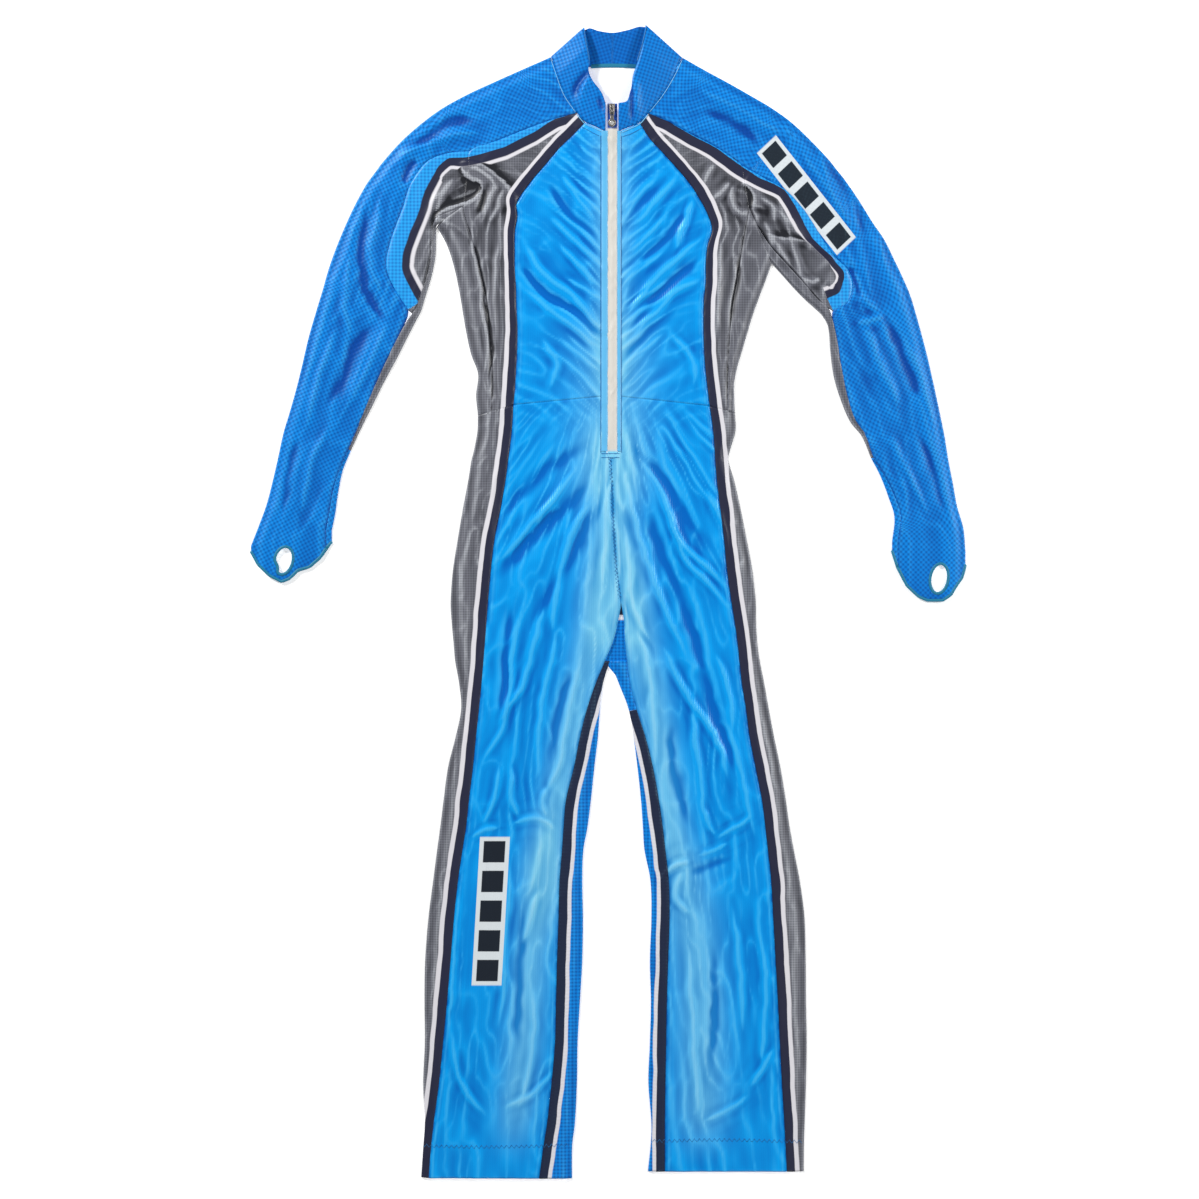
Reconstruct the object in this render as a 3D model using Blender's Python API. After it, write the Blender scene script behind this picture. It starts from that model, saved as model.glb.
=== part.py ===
# Ski race suit laid flat, front up: thin cloth walls folded round the body, sleeves and legs.
# Metres, Z up. The suit lies on z = 0 with its collar towards +Y.
import math
from collections import namedtuple

import bmesh
import bpy
from mathutils import Vector

# Sizes
PLAN_STEP = 0.00125       # metres of cloth for one step of the plan tables
MIDDLE_U = 608.25         # plan step that lies on x = 0
MIDDLE_V = 601.5          # plan step that lies on y = 0, counted down from above the collar
CLOTH = 0.0014            # wall of the knit
SEAM_GAP = 0.0003         # between two pieces at a seam
REST_HEIGHT = 0.0056      # top of the upper cloth where it lies still
EDGE_REACH = 0.0028       # how far a folded edge rounds in
EDGE_STEPS = 4            # faces round a folded edge
COLLAR_TOP = 0.0135       # height of the front collar's upper edge
COLLAR_FOLD = 0.0085      # height of the collar at its side folds
ZIP_LEFT, ZIP_RIGHT = 606.3, 617.7
ZIP_TOP, ZIP_END = 104.0, 451.0
BINDING = 0.0016          # width of the bound edges
TAB_SWING_START = math.radians(11)  # the pull tab hangs down this much

HALF = SEAM_GAP / 2 / PLAN_STEP
REACH = EDGE_REACH / PLAN_STEP

# Body sections, neck to waist: front seam, outer seam of the side piece, edge and zip.
BodyRow = namedtuple("BodyRow", "frontU frontV sideU sideV edgeU edgeV zipV")
BODY_R = [
    BodyRow(585.2, 122.5, 577.5, 112.5, 436, 225, 132.5),
    BodyRow(572.5, 135.5, 556, 118, 436, 225, 150),
    BodyRow(560, 147.4, 530, 127, 436, 225, 168),
    BodyRow(545, 165, 500, 139, 436, 225, 187),
    BodyRow(530, 183, 470, 150.5, 436, 225, 206),
    BodyRow(517, 203, 468, 168, 436, 225, 224),
    BodyRow(517.5, 216, 465, 187, 436, 225, 237),
    BodyRow(515, 232, 463, 206, 436, 225, 251),
    BodyRow(514.8, 250, 469, 229, 446.5, 244, 266),
    BodyRow(514.8, 268, 476, 252, 453.5, 265, 282),
    BodyRow(516, 287, 482, 277, 459, 290, 298),
    BodyRow(516.5, 308, 486.5, 303, 463, 314, 315),
    BodyRow(517.5, 330, 489.5, 330, 466.5, 334, 333),
    BodyRow(517, 352, 491.3, 353, 471, 354, 351),
    BodyRow(516, 372, 492, 374, 478, 374, 368),
    BodyRow(515, 389, 492, 394, 476, 395, 382),
    BodyRow(513.5, 404.8, 490.5, 413.5, 477.8, 415, 396),
]
BODY_L = [
    BodyRow(639.6, 122.9, 648, 112.5, 772, 263, 132.5),
    BodyRow(650.3, 139, 668, 121, 772, 263, 150),
    BodyRow(660.5, 150, 690, 133, 772, 263, 168),
    BodyRow(675, 166, 716, 146.5, 772, 263, 187),
    BodyRow(690, 183.7, 742, 165, 772, 263, 206),
    BodyRow(701, 201, 745, 180, 772, 263, 224),
    BodyRow(708, 215, 747, 193, 772, 263, 238),
    BodyRow(712, 229, 749, 207, 772, 263, 252),
    BodyRow(707.5, 246, 744.5, 232, 765.5, 281, 268),
    BodyRow(705.8, 264, 740.5, 258, 759, 298, 284),
    BodyRow(705.8, 281, 736.8, 282, 753, 315, 299),
    BodyRow(704, 299, 733, 303, 747.5, 333, 315),
    BodyRow(703.5, 319, 730.7, 325, 742.5, 350, 332),
    BodyRow(703.8, 340, 729, 346, 737.5, 367, 349),
    BodyRow(704.8, 361, 728.3, 367, 734.5, 383, 366),
    BodyRow(707, 383, 727.8, 389, 734.5, 398, 381),
    BodyRow(709.8, 406, 727.5, 411, 735, 412, 396),
]

# Back seams above the armpit, where the back neck is higher than the front.
BackRow = namedtuple("BackRow", "frontU frontV sideU sideV")
BACK_R = [
    BackRow(585, 66.5, 577, 65.5),
    BackRow(572, 92, 553, 88),
    BackRow(559, 116, 528, 109),
    BackRow(545, 142, 500, 130),
    BackRow(531, 166, 470, 150.5),
    BackRow(518, 190, 459, 175),
    BackRow(516, 211, 447.5, 200),
]
BACK_L = [
    BackRow(640, 66.5, 648, 65.5),
    BackRow(652, 92, 669, 90),
    BackRow(665, 116, 692, 112),
    BackRow(679, 142, 717, 137),
    BackRow(692, 166, 742, 165),
    BackRow(704, 190, 751, 195),
    BackRow(710, 211, 761, 229),
]

# Sleeve sections, neck to cuff: outer edge, seam of the sleeve piece, underarm seam, inner edge.
SleeveRow = namedtuple("SleeveRow", "outerU outerV seamU seamV underU underV innerU innerV backU backV")
SLEEVE_R = [
    SleeveRow(550.5, 56.5, 577.5, 112.5, 0, 0, 0, 0, 577, 65.5),
    SleeveRow(522, 69, 556, 118, 0, 0, 0, 0, 553, 88),
    SleeveRow(494, 81.5, 530, 127, 0, 0, 0, 0, 528, 109),
    SleeveRow(467, 94, 500, 139, 0, 0, 0, 0, 500, 130),
    SleeveRow(441, 108.5, 470, 150.5, 470, 150.5, 470, 150.5, 470, 150.5),
    SleeveRow(420, 124, 447, 153, 468, 168, 459, 175, 447, 153),
    SleeveRow(401, 141, 427, 161, 465, 187, 447.5, 200, 427, 161),
    SleeveRow(383, 161, 412, 180, 463, 206, 436, 225, 412, 180),
    SleeveRow(374, 173, 407, 192, 435.3, 219, 436, 231, 407, 192),
    SleeveRow(366, 184, 403.5, 204, 431, 240, 436, 241, 403.5, 204),
    SleeveRow(354, 206, 396, 224, 430.5, 256, 435.2, 257, 396, 224),
    SleeveRow(344.5, 226.5, 389.5, 243, 428, 270, 432.5, 271.5, 389.5, 243),
    SleeveRow(336, 247, 386, 261, 424.5, 283, 429, 284.5, 386, 261),
    SleeveRow(328.5, 268, 388, 275, 420, 295.5, 424.8, 298, 388, 275),
    SleeveRow(322.5, 289, 397, 293, 416, 307.5, 421, 310.5, 397, 293),
    SleeveRow(315.5, 312, 408, 310, 412, 313.5, 416, 320, 403, 313),
    SleeveRow(308, 338, 401.5, 330, 401.5, 330, 407.8, 336, 392, 329),
    SleeveRow(301.5, 366, 390, 353, 390, 353, 396.5, 358.5, 381, 350),
    SleeveRow(295.5, 390, 377.5, 377, 377.5, 377, 383.8, 382, 369, 374),
    SleeveRow(289, 413, 366, 401, 366, 401, 372.5, 405, 357, 398),
    SleeveRow(283, 433, 355.5, 424, 355.5, 424, 361.5, 427, 346, 422),
    SleeveRow(278, 456, 344, 447, 344, 447, 350.5, 450.5, 337, 446),
    SleeveRow(272.5, 480, 337, 469, 337, 469, 342.5, 470.5, 330, 468),
    SleeveRow(266, 505, 332, 491, 332, 491, 338, 492, 326, 491),
    SleeveRow(257.5, 528, 329, 512, 329, 512, 335, 513, 322, 513),
    SleeveRow(250.5, 546, 326, 529, 326, 529, 331.5, 530.5, 319, 531),
]
SLEEVE_L = [
    SleeveRow(683, 57, 648, 112.5, 0, 0, 0, 0, 648, 65.5),
    SleeveRow(704, 69, 668, 121, 0, 0, 0, 0, 669, 90),
    SleeveRow(728, 82, 690, 133, 0, 0, 0, 0, 692, 112),
    SleeveRow(750, 94.5, 716, 146.5, 0, 0, 0, 0, 717, 137),
    SleeveRow(772, 107.5, 742, 165, 742, 165, 742, 165, 742, 165),
    SleeveRow(792, 122, 763, 177, 745, 180, 751, 195, 763, 177),
    SleeveRow(811, 140, 785, 189, 747, 193, 761, 229, 785, 189),
    SleeveRow(829, 159, 803, 208, 749, 207, 772, 263, 803, 208),
    SleeveRow(837, 169, 812, 221, 754, 218, 775.3, 267, 812, 221),
    SleeveRow(845, 179, 820, 234, 759, 228, 779, 271, 820, 234),
    SleeveRow(860, 201, 835, 256, 770, 245, 787, 280, 835, 256),
    SleeveRow(873, 222, 848, 269, 783, 259.5, 797, 291, 848, 269),
    SleeveRow(884.5, 239, 853, 281, 795, 272.5, 806, 300, 853, 281),
    SleeveRow(894, 258, 851.5, 295, 807, 286, 815, 308, 851.5, 295),
    SleeveRow(903, 277, 845, 305, 817.5, 298, 823, 316, 845, 305),
    SleeveRow(911, 296, 833, 311, 829, 308.5, 828.5, 327, 843, 319),
    SleeveRow(919, 323, 837, 338, 837, 338, 830.5, 350, 842, 335),
    SleeveRow(926.5, 351, 841.5, 367, 841.5, 367, 834, 376, 848, 364),
    SleeveRow(933, 379, 848.5, 395, 848.5, 395, 841, 399.5, 856, 393),
    SleeveRow(939.5, 409, 857, 418, 857, 418, 850.5, 421.5, 865, 417),
    SleeveRow(945, 436, 869, 435, 869, 435, 862, 436, 877, 435),
    SleeveRow(949, 461, 878, 457, 878, 457, 871.5, 458, 886, 457),
    SleeveRow(953.5, 484, 887, 475, 887, 475, 880.8, 476, 895, 476),
    SleeveRow(957.5, 506, 895, 495, 895, 495, 888.5, 496, 902, 496),
    SleeveRow(964, 529, 901, 516, 901, 516, 894.8, 517, 907, 517),
    SleeveRow(966, 552, 898, 541, 898, 541, 892.5, 542, 905, 542),
]
ARMPIT = 7                # section that meets the armpit
INSERT_END = 15           # last section of the underarm piece on the front
APEX_START = 2.5          # plan steps from the point where the underarm piece begins
STRIP_END = 21            # where the grey strip along the inner edge runs out
WRIST = 23                # first section of the cuff with the thumb loop

# Cuff end: share of the way from the outer edge, and how far the end hangs past the last section.
CuffEnd = namedtuple("CuffEnd", "share drop")
CUFF_R = [
    CuffEnd(0, 5), CuffEnd(0.09, 20), CuffEnd(0.23, 33.5), CuffEnd(0.38, 42.5), CuffEnd(0.48, 41),
    CuffEnd(0.58, 34.5), CuffEnd(0.72, 34), CuffEnd(0.86, 26.5), CuffEnd(1, 11),
]
CUFF_L = [
    CuffEnd(0, 12), CuffEnd(0.04, 25), CuffEnd(0.15, 38), CuffEnd(0.2, 45), CuffEnd(0.31, 52),
    CuffEnd(0.52, 54.5), CuffEnd(0.64, 52), CuffEnd(0.8, 43), CuffEnd(0.93, 25), CuffEnd(1, 8),
]
ThumbHole = namedtuple("ThumbHole", "u v halfWidth halfHeight lean")
THUMB_R = ThumbHole(283.3, 560.5, 9.6, 14, 0.15)
THUMB_L = ThumbHole(939.5, 578.5, 9.2, 15, 0.1)
BOUND_EDGE = 2.6          # plan steps of the bound strip at the cuff end
BOUND_GAP = 0.55          # measured along the sleeve, less across the slanted end

# Leg sections, waist to hem: outer edge, outer front seam, inner front seam and inner edge.
LegRow = namedtuple("LegRow", "v edgeU edgeV outU outV inU inV gapU")
LEG_R = [
    LegRow(0, 477.8, 415, 513.5, 404.8, 606.3, 396, 606.3),
    LegRow(1, 477.3, 431, 512, 429, 606.3, 428, 606.3),
    LegRow(2, 473.5, 452, 509.5, 451, 606.3, 451.5, 606.3),
    LegRow(3, 471.5, 459, 508.5, 458.5, 611, 458.5, 611),
    LegRow(4, 468, 481, 505.5, 481, 611.7, 481, 611.7),
    LegRow(5, 462.5, 510, 500.5, 510, 613, 510, 613),
    LegRow(6, 457.5, 540, 494.5, 540, 614.5, 540, 614.5),
    LegRow(7, 452.8, 570, 491, 570, 616.8, 570, 616.8),
    LegRow(8, 450.5, 602, 488, 602, 621, 602, 621),
    LegRow(9, 451.5, 622, 486.5, 622, 618, 622, 618),
    LegRow(10, 453.3, 642, 485, 642, 613, 642, 614.5),
    LegRow(11, 455, 661, 483.5, 661, 605, 661, 610),
    LegRow(12, 459, 684, 481.5, 684, 595.5, 684, 603),
    LegRow(13, 461, 709, 479, 709, 587, 709, 600),
    LegRow(14, 455.5, 737, 476, 737, 580, 737, 598),
    LegRow(15, 448, 767, 473, 767, 574, 767, 594.5),
    LegRow(16, 443.5, 800, 469, 800, 566, 800, 591),
    LegRow(17, 440, 828, 466, 828, 563.5, 828, 587.5),
    LegRow(18, 437, 850, 462.5, 850, 562, 850, 583.5),
    LegRow(19, 433, 881, 458, 881, 559.5, 881, 582.3),
    LegRow(20, 428.3, 918, 454, 918, 558.5, 918, 583),
    LegRow(21, 425, 961, 450.5, 961, 557, 961, 582.3),
    LegRow(22, 424.3, 1002, 447, 1002, 556, 1002, 580),
    LegRow(23, 424.7, 1043, 443, 1043, 555, 1043, 577.7),
    LegRow(24, 423, 1083, 439, 1083, 551.5, 1083, 577),
    LegRow(25, 424.5, 1124, 433.5, 1124, 547, 1124, 575),
    LegRow(26, 423, 1147, 431, 1147, 543.5, 1146, 572.3),
    LegRow(27, 421, 1178, 428.5, 1178.5, 539, 1179, 572),
]
LEG_L = [
    LegRow(0, 735, 412, 709.8, 406, 617.7, 396, 617.7),
    LegRow(1, 735.8, 430, 713, 429, 617.7, 428, 617.7),
    LegRow(2, 730, 451, 714.8, 451, 617.7, 451.5, 617.7),
    LegRow(3, 728.3, 459, 715.2, 458.5, 611, 458.5, 611),
    LegRow(4, 734.5, 481, 717, 481, 611.7, 481, 611.7),
    LegRow(5, 741, 510, 720.5, 510, 613, 510, 613),
    LegRow(6, 747, 540, 724, 540, 614.5, 540, 614.5),
    LegRow(7, 752.5, 570, 727, 570, 616.8, 570, 616.8),
    LegRow(8, 756, 602, 731.5, 602, 621, 602, 621),
    LegRow(9, 756.3, 622, 734.7, 622, 624, 622, 618),
    LegRow(10, 757.5, 642, 737.5, 642, 625, 642, 614.5),
    LegRow(11, 760, 661, 739.5, 661, 627, 661, 610),
    LegRow(12, 764.5, 684, 742, 684, 630, 684, 619),
    LegRow(13, 769, 709, 746, 709, 636.5, 709, 628.5),
    LegRow(14, 774.3, 737, 749.7, 737, 645.5, 737, 633.5),
    LegRow(15, 780.5, 767, 755.5, 767, 653, 767, 637.5),
    LegRow(16, 786, 800, 762, 800, 659, 800, 641),
    LegRow(17, 790, 828, 765.5, 828, 663, 828, 643),
    LegRow(18, 794, 850, 768, 850, 665.5, 850, 644.5),
    LegRow(19, 800, 881, 771.3, 881, 669, 881, 650.5),
    LegRow(20, 804.8, 918, 773.3, 918, 669.7, 918, 651.5),
    LegRow(21, 806, 961, 775.7, 961, 668.3, 961, 650),
    LegRow(22, 806.3, 1002, 778, 1002, 667, 1002, 651),
    LegRow(23, 807, 1043, 780, 1043, 666.3, 1043, 650),
    LegRow(24, 806.3, 1083, 782, 1083, 665.6, 1083, 648.5),
    LegRow(25, 805, 1124, 784.5, 1124, 665, 1124, 651.5),
    LegRow(26, 804.3, 1143, 785.5, 1143, 665, 1143, 651),
    LegRow(27, 804, 1172, 787, 1172, 665, 1172, 648),
]
BACK_MIDDLE = 610.0       # centre seam of the back
CROTCH = 8                # section where the front pieces part
GAP_TOP = 11              # section where the space between the legs begins

# Collar sections, from the zip round the neck and back: seam at the neck and upper edge.
CollarRow = namedtuple("CollarRow", "baseU baseV topU topV")
COLLAR_FRONT_R = [
    CollarRow(605.5, 132.1, 605.5, 103.5),
    CollarRow(595, 127.1, 601.5, 93),
    CollarRow(585.2, 122.5, 592.5, 81),
    CollarRow(577.5, 112.5, 588.5, 71),
    CollarRow(568.5, 93.8, 590, 61.5),
    CollarRow(559.5, 75.2, 588, 47),
]
COLLAR_SIDE_R = CollarRow(550.5, 56.5, 584, 27)
COLLAR_BACK = [
    CollarRow(577, 65.5, 590, 27.5),
    CollarRow(585, 66.5, 598, 30),
    CollarRow(612.5, 66.5, 613, 32),
    CollarRow(640, 66.5, 629, 29),
    CollarRow(648, 65.5, 639, 26),
]
COLLAR_SIDE_L = CollarRow(683, 57, 646, 24)
COLLAR_FRONT_L = [
    CollarRow(671.3, 75.5, 642, 44),
    CollarRow(659.7, 94, 638, 61),
    CollarRow(648, 112.5, 633, 76),
    CollarRow(639.6, 122.9, 631, 90),
    CollarRow(629, 127.6, 627, 101.5),
    CollarRow(618.5, 132.1, 618.5, 104),
]

# Folds of the upper cloth: a ridge from one plan point to another, its rise in mm and half width.
Fold = namedtuple("Fold", "fromU fromV toU toV rise width")
FOLDS = [
    # armpits and chest
    Fold(462, 160, 440, 222, 6.0, 15),
    Fold(500, 172, 470, 240, 3.5, 9),
    Fold(484, 168, 474, 262, 3.0, 8),
    Fold(455, 205, 452, 262, 3.0, 9),
    Fold(518, 236, 566, 304, 4.0, 11),
    Fold(520, 262, 590, 322, 3.0, 10),
    Fold(562, 172, 600, 238, 2.5, 9),
    Fold(556, 212, 602, 272, 2.5, 9),
    Fold(706, 232, 640, 286, 4.0, 11),
    Fold(700, 262, 634, 318, 3.0, 10),
    Fold(676, 168, 640, 236, 3.0, 10),
    Fold(664, 200, 622, 262, 2.5, 9),
    Fold(722, 172, 748, 232, 4.0, 11),
    Fold(741, 186, 760, 232, 6.0, 13),
    Fold(780, 214, 838, 256, 7.0, 15),
    Fold(760, 178, 800, 222, 3.0, 10),
    Fold(728, 236, 716, 330, 2.5, 9),
    # waist and hips
    Fold(520, 356, 600, 384, 2.0, 10),
    Fold(704, 352, 630, 384, 2.0, 10),
    Fold(552, 420, 512, 520, 3.5, 12),
    Fold(600, 462, 540, 590, 4.5, 14),
    Fold(604, 500, 572, 640, 3.5, 12),
    Fold(530, 500, 500, 640, 2.5, 11),
    Fold(622, 466, 700, 596, 4.5, 14),
    Fold(640, 448, 716, 520, 3.0, 11),
    Fold(626, 530, 672, 650, 3.5, 13),
    Fold(484, 300, 478, 400, 2.0, 7),
    # thighs and knees
    Fold(560, 620, 530, 770, 3.5, 13),
    Fold(520, 650, 494, 800, 3.0, 13),
    Fold(586, 660, 560, 760, 2.5, 10),
    Fold(482, 834, 560, 850, 3.0, 11),
    Fold(520, 878, 562, 862, 2.5, 9),
    Fold(656, 640, 684, 760, 3.5, 13),
    Fold(700, 620, 726, 780, 3.0, 13),
    Fold(740, 650, 760, 760, 2.5, 11),
    Fold(668, 842, 748, 868, 3.0, 11),
    Fold(690, 900, 760, 880, 2.5, 10),
    Fold(656, 926, 706, 936, 2.0, 9),
    # calves and hems
    Fold(524, 890, 508, 1010, 3.0, 11),
    Fold(540, 930, 520, 1100, 2.5, 11),
    Fold(456, 980, 446, 1110, 2.0, 9),
    Fold(470, 1060, 530, 1140, 2.5, 12),
    Fold(690, 950, 700, 1090, 3.0, 13),
    Fold(748, 920, 756, 1060, 3.0, 13),
    Fold(764, 1060, 700, 1140, 3.0, 13),
    # sleeves
    Fold(512, 96, 424, 150, 2.5, 12),
    Fold(430, 138, 388, 232, 3.5, 12),
    Fold(378, 196, 352, 300, 3.0, 12),
    Fold(398, 300, 352, 400, 3.5, 13),
    Fold(350, 330, 318, 440, 3.0, 12),
    Fold(318, 400, 300, 510, 2.5, 11),
    Fold(700, 90, 790, 140, 2.5, 12),
    Fold(812, 160, 872, 260, 3.5, 12),
    Fold(862, 290, 836, 336, 3.5, 12),
    Fold(858, 300, 896, 400, 3.5, 13),
    Fold(880, 330, 862, 420, 2.5, 11),
    Fold(902, 400, 930, 510, 3.0, 12),
    # cloth gathered below the collar
    Fold(577, 84, 582, 118, 2.5, 9),
]
NECK_LIFT = Fold(612, 96, 612, 122, 5.0, 48)

# Zip slider and pull tab
SLIDER_V = 110.0          # plan step of the slider's middle
SLIDER_SIZE = (0.0078, 0.0136, 0.0030)
PIN_V = 112.5             # plan step of the tab's hinge
PIN_RISE = 0.0016         # hinge above the slider's plate
KNUCKLE_RADIUS, KNUCKLE_BORE, KNUCKLE_WIDTH = 0.0020, 0.00105, 0.0022
TAB_THICK = 0.0010
TAB_REACH = 0.0143        # from the hinge to the middle of the round end
TAB_ROUND = 0.0050        # radius of the round end
TAB_NECK = 0.0020         # half width of the neck
EYE_HALF_WIDTH, EYE_LENGTH, EYE_WALL = 0.0015, 0.0027, 0.0011

COLOURS = {
    "azure_knit": (0.012, 0.330, 0.870, 1),
    "check_knit": (0.007, 0.150, 0.700, 1),
    "grey_knit": (0.150, 0.165, 0.185, 1),
    "teal_binding": (0.010, 0.270, 0.420, 1),
    "zip_coil": (0.680, 0.650, 0.600, 1),
    "grey_metal": (0.420, 0.410, 0.390, 1),
}


# Plan helpers
def place(u, v):
    return (u - MIDDLE_U) * PLAN_STEP, (MIDDLE_V - v) * PLAN_STEP


def mix(a, b, share):
    return tuple(p + (q - p) * share for p, q in zip(a, b))


def toward(a, b, distance):
    length = math.hypot(b[0] - a[0], b[1] - a[1])
    return mix(a, b, distance / length)


def after_apex(rows):
    # Starts a piece that begins in a point a little further on, where it has some width.
    return [blend(rows, 0, 1, APEX_START)] + list(rows[1:])


def blend(rows, index, other, distance):
    row, near = rows[index], rows[other]
    length = math.hypot(near[0] - row[0], near[1] - row[1])
    length = max(length, abs(near[-1] - row[-1]), 1.0)
    return type(row)(*mix(row, near, distance / length))


def trimmed(rows):
    first = blend(rows, 0, 1, HALF)
    last = blend(rows, len(rows) - 1, len(rows) - 2, HALF)
    return [first] + list(rows[1:-1]) + [last]


# Height of the upper cloth
def ridge(fold, u, v):
    du, dv = fold.toU - fold.fromU, fold.toV - fold.fromV
    length = math.hypot(du, dv)
    along = ((u - fold.fromU) * du + (v - fold.fromV) * dv) / length
    off = abs((u - fold.fromU) * dv - (v - fold.fromV) * du) / length
    past = max(0.0, -along, along - length)
    spread = math.hypot(off, past) / fold.width
    if spread >= 1:
        return 0.0
    return fold.rise * 0.001 * (1 - spread * spread) ** 2


def top_height(u, v):
    return REST_HEIGHT + ridge(NECK_LIFT, u, v) + sum(ridge(fold, u, v) for fold in FOLDS)


# Each cloth point is a pair: its outer face and its inner face.
def upper(u, v, warp=None):
    x, y = place(*(warp(u, v) if warp else (u, v)))
    z = top_height(u, v)
    return Vector((x, y, z)), Vector((x, y, z - CLOTH))


def lower(u, v, warp=None):
    x, y = place(*(warp(u, v) if warp else (u, v)))
    return Vector((x, y, 0)), Vector((x, y, CLOTH))


def run(point, start, end, count, warp=None):
    return [point(*mix(start, end, k / count), warp) for k in range(count + 1)]


def rounded_edge(edge, inset, warp=None):
    height = top_height(*inset)
    points = []
    for k in range(1, EDGE_STEPS):
        angle = math.pi * k / EDGE_STEPS
        pair = []
        for wall in (0, CLOTH):
            out = (REACH - wall / PLAN_STEP) * math.sin(angle)
            u, v = toward(inset, edge, out)
            x, y = place(*(warp(u, v) if warp else (u, v)))
            pair.append(Vector((x, y, height / 2 + (height / 2 - wall) * math.cos(angle))))
        points.append(tuple(pair))
    return points


def folded_row(seam, edge, back, top_count, under_count, warp=None):
    inset = toward(edge, seam, REACH)
    top = run(upper, seam, inset, top_count, warp)
    under = run(lower, inset, back, under_count, warp)
    return top + rounded_edge(edge, inset, warp) + under


# Solids
def shaded(name, mesh, colour):
    obj = bpy.data.objects.new(name, mesh)
    bpy.context.collection.objects.link(obj)
    material = bpy.data.materials.new(name + "_" + colour)
    material.use_nodes = True
    shader = material.node_tree.nodes["Principled BSDF"]
    shader.inputs["Base Color"].default_value = COLOURS[colour]
    metal = colour == "grey_metal"
    shader.inputs["Metallic"].default_value = 1.0 if metal else 0.0
    shader.inputs["Roughness"].default_value = 0.35 if metal else 0.55
    mesh.materials.append(material)
    for face in mesh.polygons:
        face.use_smooth = True
    return obj


def finish_mesh(name, bm):
    bmesh.ops.recalc_face_normals(bm, faces=bm.faces)
    mesh = bpy.data.meshes.new(name)
    bm.to_mesh(mesh)
    bm.free()
    return mesh


def cloth(name, colour, *grids):
    # Welds the grids, gives every outer point its inner partner, and walls the open borders.
    numbers, outer, inner, faces = {}, [], [], []
    for rows in grids:
        table = []
        for row in rows:
            line = []
            for face_point, back_point in row:
                key = tuple(round(c * 50000) for c in face_point)
                if key not in numbers:
                    numbers[key] = len(outer)
                    outer.append(face_point)
                    inner.append(back_point)
                line.append(numbers[key])
            table.append(line)
        for one, two in zip(table, table[1:]):
            for a, b, c, d in zip(one, one[1:], two[1:], two):
                corners = list(dict.fromkeys((a, b, c, d)))
                if len(corners) > 2:
                    faces.append(corners)
    shift = len(outer)
    borders = {}
    for corners in faces:
        for a, b in zip(corners, corners[1:] + corners[:1]):
            key = (min(a, b), max(a, b))
            borders[key] = borders.get(key, 0) + 1
    bm = bmesh.new()
    verts = [bm.verts.new(p) for p in outer + inner]
    for corners in faces:
        bm.faces.new([verts[k] for k in corners])
        bm.faces.new([verts[k + shift] for k in reversed(corners)])
    for (a, b), used in borders.items():
        if used == 1:
            bm.faces.new([verts[a], verts[b], verts[b + shift], verts[a + shift]])
    return shaded(name, finish_mesh(name, bm), colour)


def ring_prism(name, colour, outer, inner, low, high):
    bm = bmesh.new()
    loops = [[bm.verts.new((x, y, z)) for x, y in line]
             for line, z in ((outer, low), (outer, high), (inner, high), (inner, low))]
    for one, two in zip(loops, loops[1:] + loops[:1]):
        count = len(one)
        for k in range(count):
            bm.faces.new([one[k], one[(k + 1) % count], two[(k + 1) % count], two[k]])
    return shaded(name, finish_mesh(name, bm), colour)


def cutter(name, mesh):
    obj = bpy.data.objects.new(name, mesh)
    bpy.context.collection.objects.link(obj)
    obj.hide_render = True
    obj.display_type = "WIRE"
    return obj


def combine(obj, other, operation):
    step = obj.modifiers.new(operation.lower(), "BOOLEAN")
    step.operation = operation
    step.object = other
    step.solver = "EXACT"


# Body
def level_waist(rows):
    # At the waist the side seam meets a straight edge from the front seam to the folded edge.
    last = rows[-1]
    share = (last.sideU - last.frontU) / (last.edgeU - last.frontU)
    return rows[:-1] + [last._replace(sideV=last.frontV + (last.edgeV - last.frontV) * share)]


def front_body(name, rows, zip_u):
    side = 1 if zip_u < 612 else -1
    grid = []
    for row in trimmed(rows):
        front = (row.frontU, row.frontV)
        middle = (zip_u - side * HALF, row.zipV)
        grid.append(run(upper, toward(front, middle, HALF), middle, 6))
    cloth(name, "azure_knit", grid)


def side_front(name, rows):
    grid = []
    for row in trimmed(level_waist(rows)):
        front, side = (row.frontU, row.frontV), (row.sideU, row.sideV)
        grid.append(run(upper, toward(front, side, HALF), toward(side, front, HALF), 4))
    cloth(name, "grey_knit", grid)


def side_back(name, rows, back_rows):
    wrap = []
    for row in trimmed(level_waist(rows)[ARMPIT:]):
        front, side, edge = (row.frontU, row.frontV), (row.sideU, row.sideV), (row.edgeU, row.edgeV)
        under = 4
        wrap.append(folded_row(toward(side, edge, HALF), edge, toward(front, edge, HALF), 2, under))
    flat = []
    for row in trimmed(back_rows + back_rows[-1:])[:-1]:
        front, side = (row.frontU, row.frontV), (row.sideU, row.sideV)
        flat.append(run(lower, toward(side, front, HALF), toward(front, side, HALF), 4))
    flat.append(wrap[0][-5:])
    cloth(name, "grey_knit", wrap, flat)


def back_body():
    left = trimmed([BackRow(*row[:4]) for row in BACK_R] + [BackRow(*row[:4]) for row in BODY_R[ARMPIT:]])
    right = trimmed([BackRow(*row[:4]) for row in BACK_L] + [BackRow(*row[:4]) for row in BODY_L[ARMPIT:]])
    grid = []
    for one, two in zip(left, right):
        a, b = (one.frontU, one.frontV), (two.frontU, two.frontV)
        grid.append(run(lower, toward(a, b, HALF), toward(b, a, HALF), 4))
    cloth("back_body", "check_knit", grid)


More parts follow.
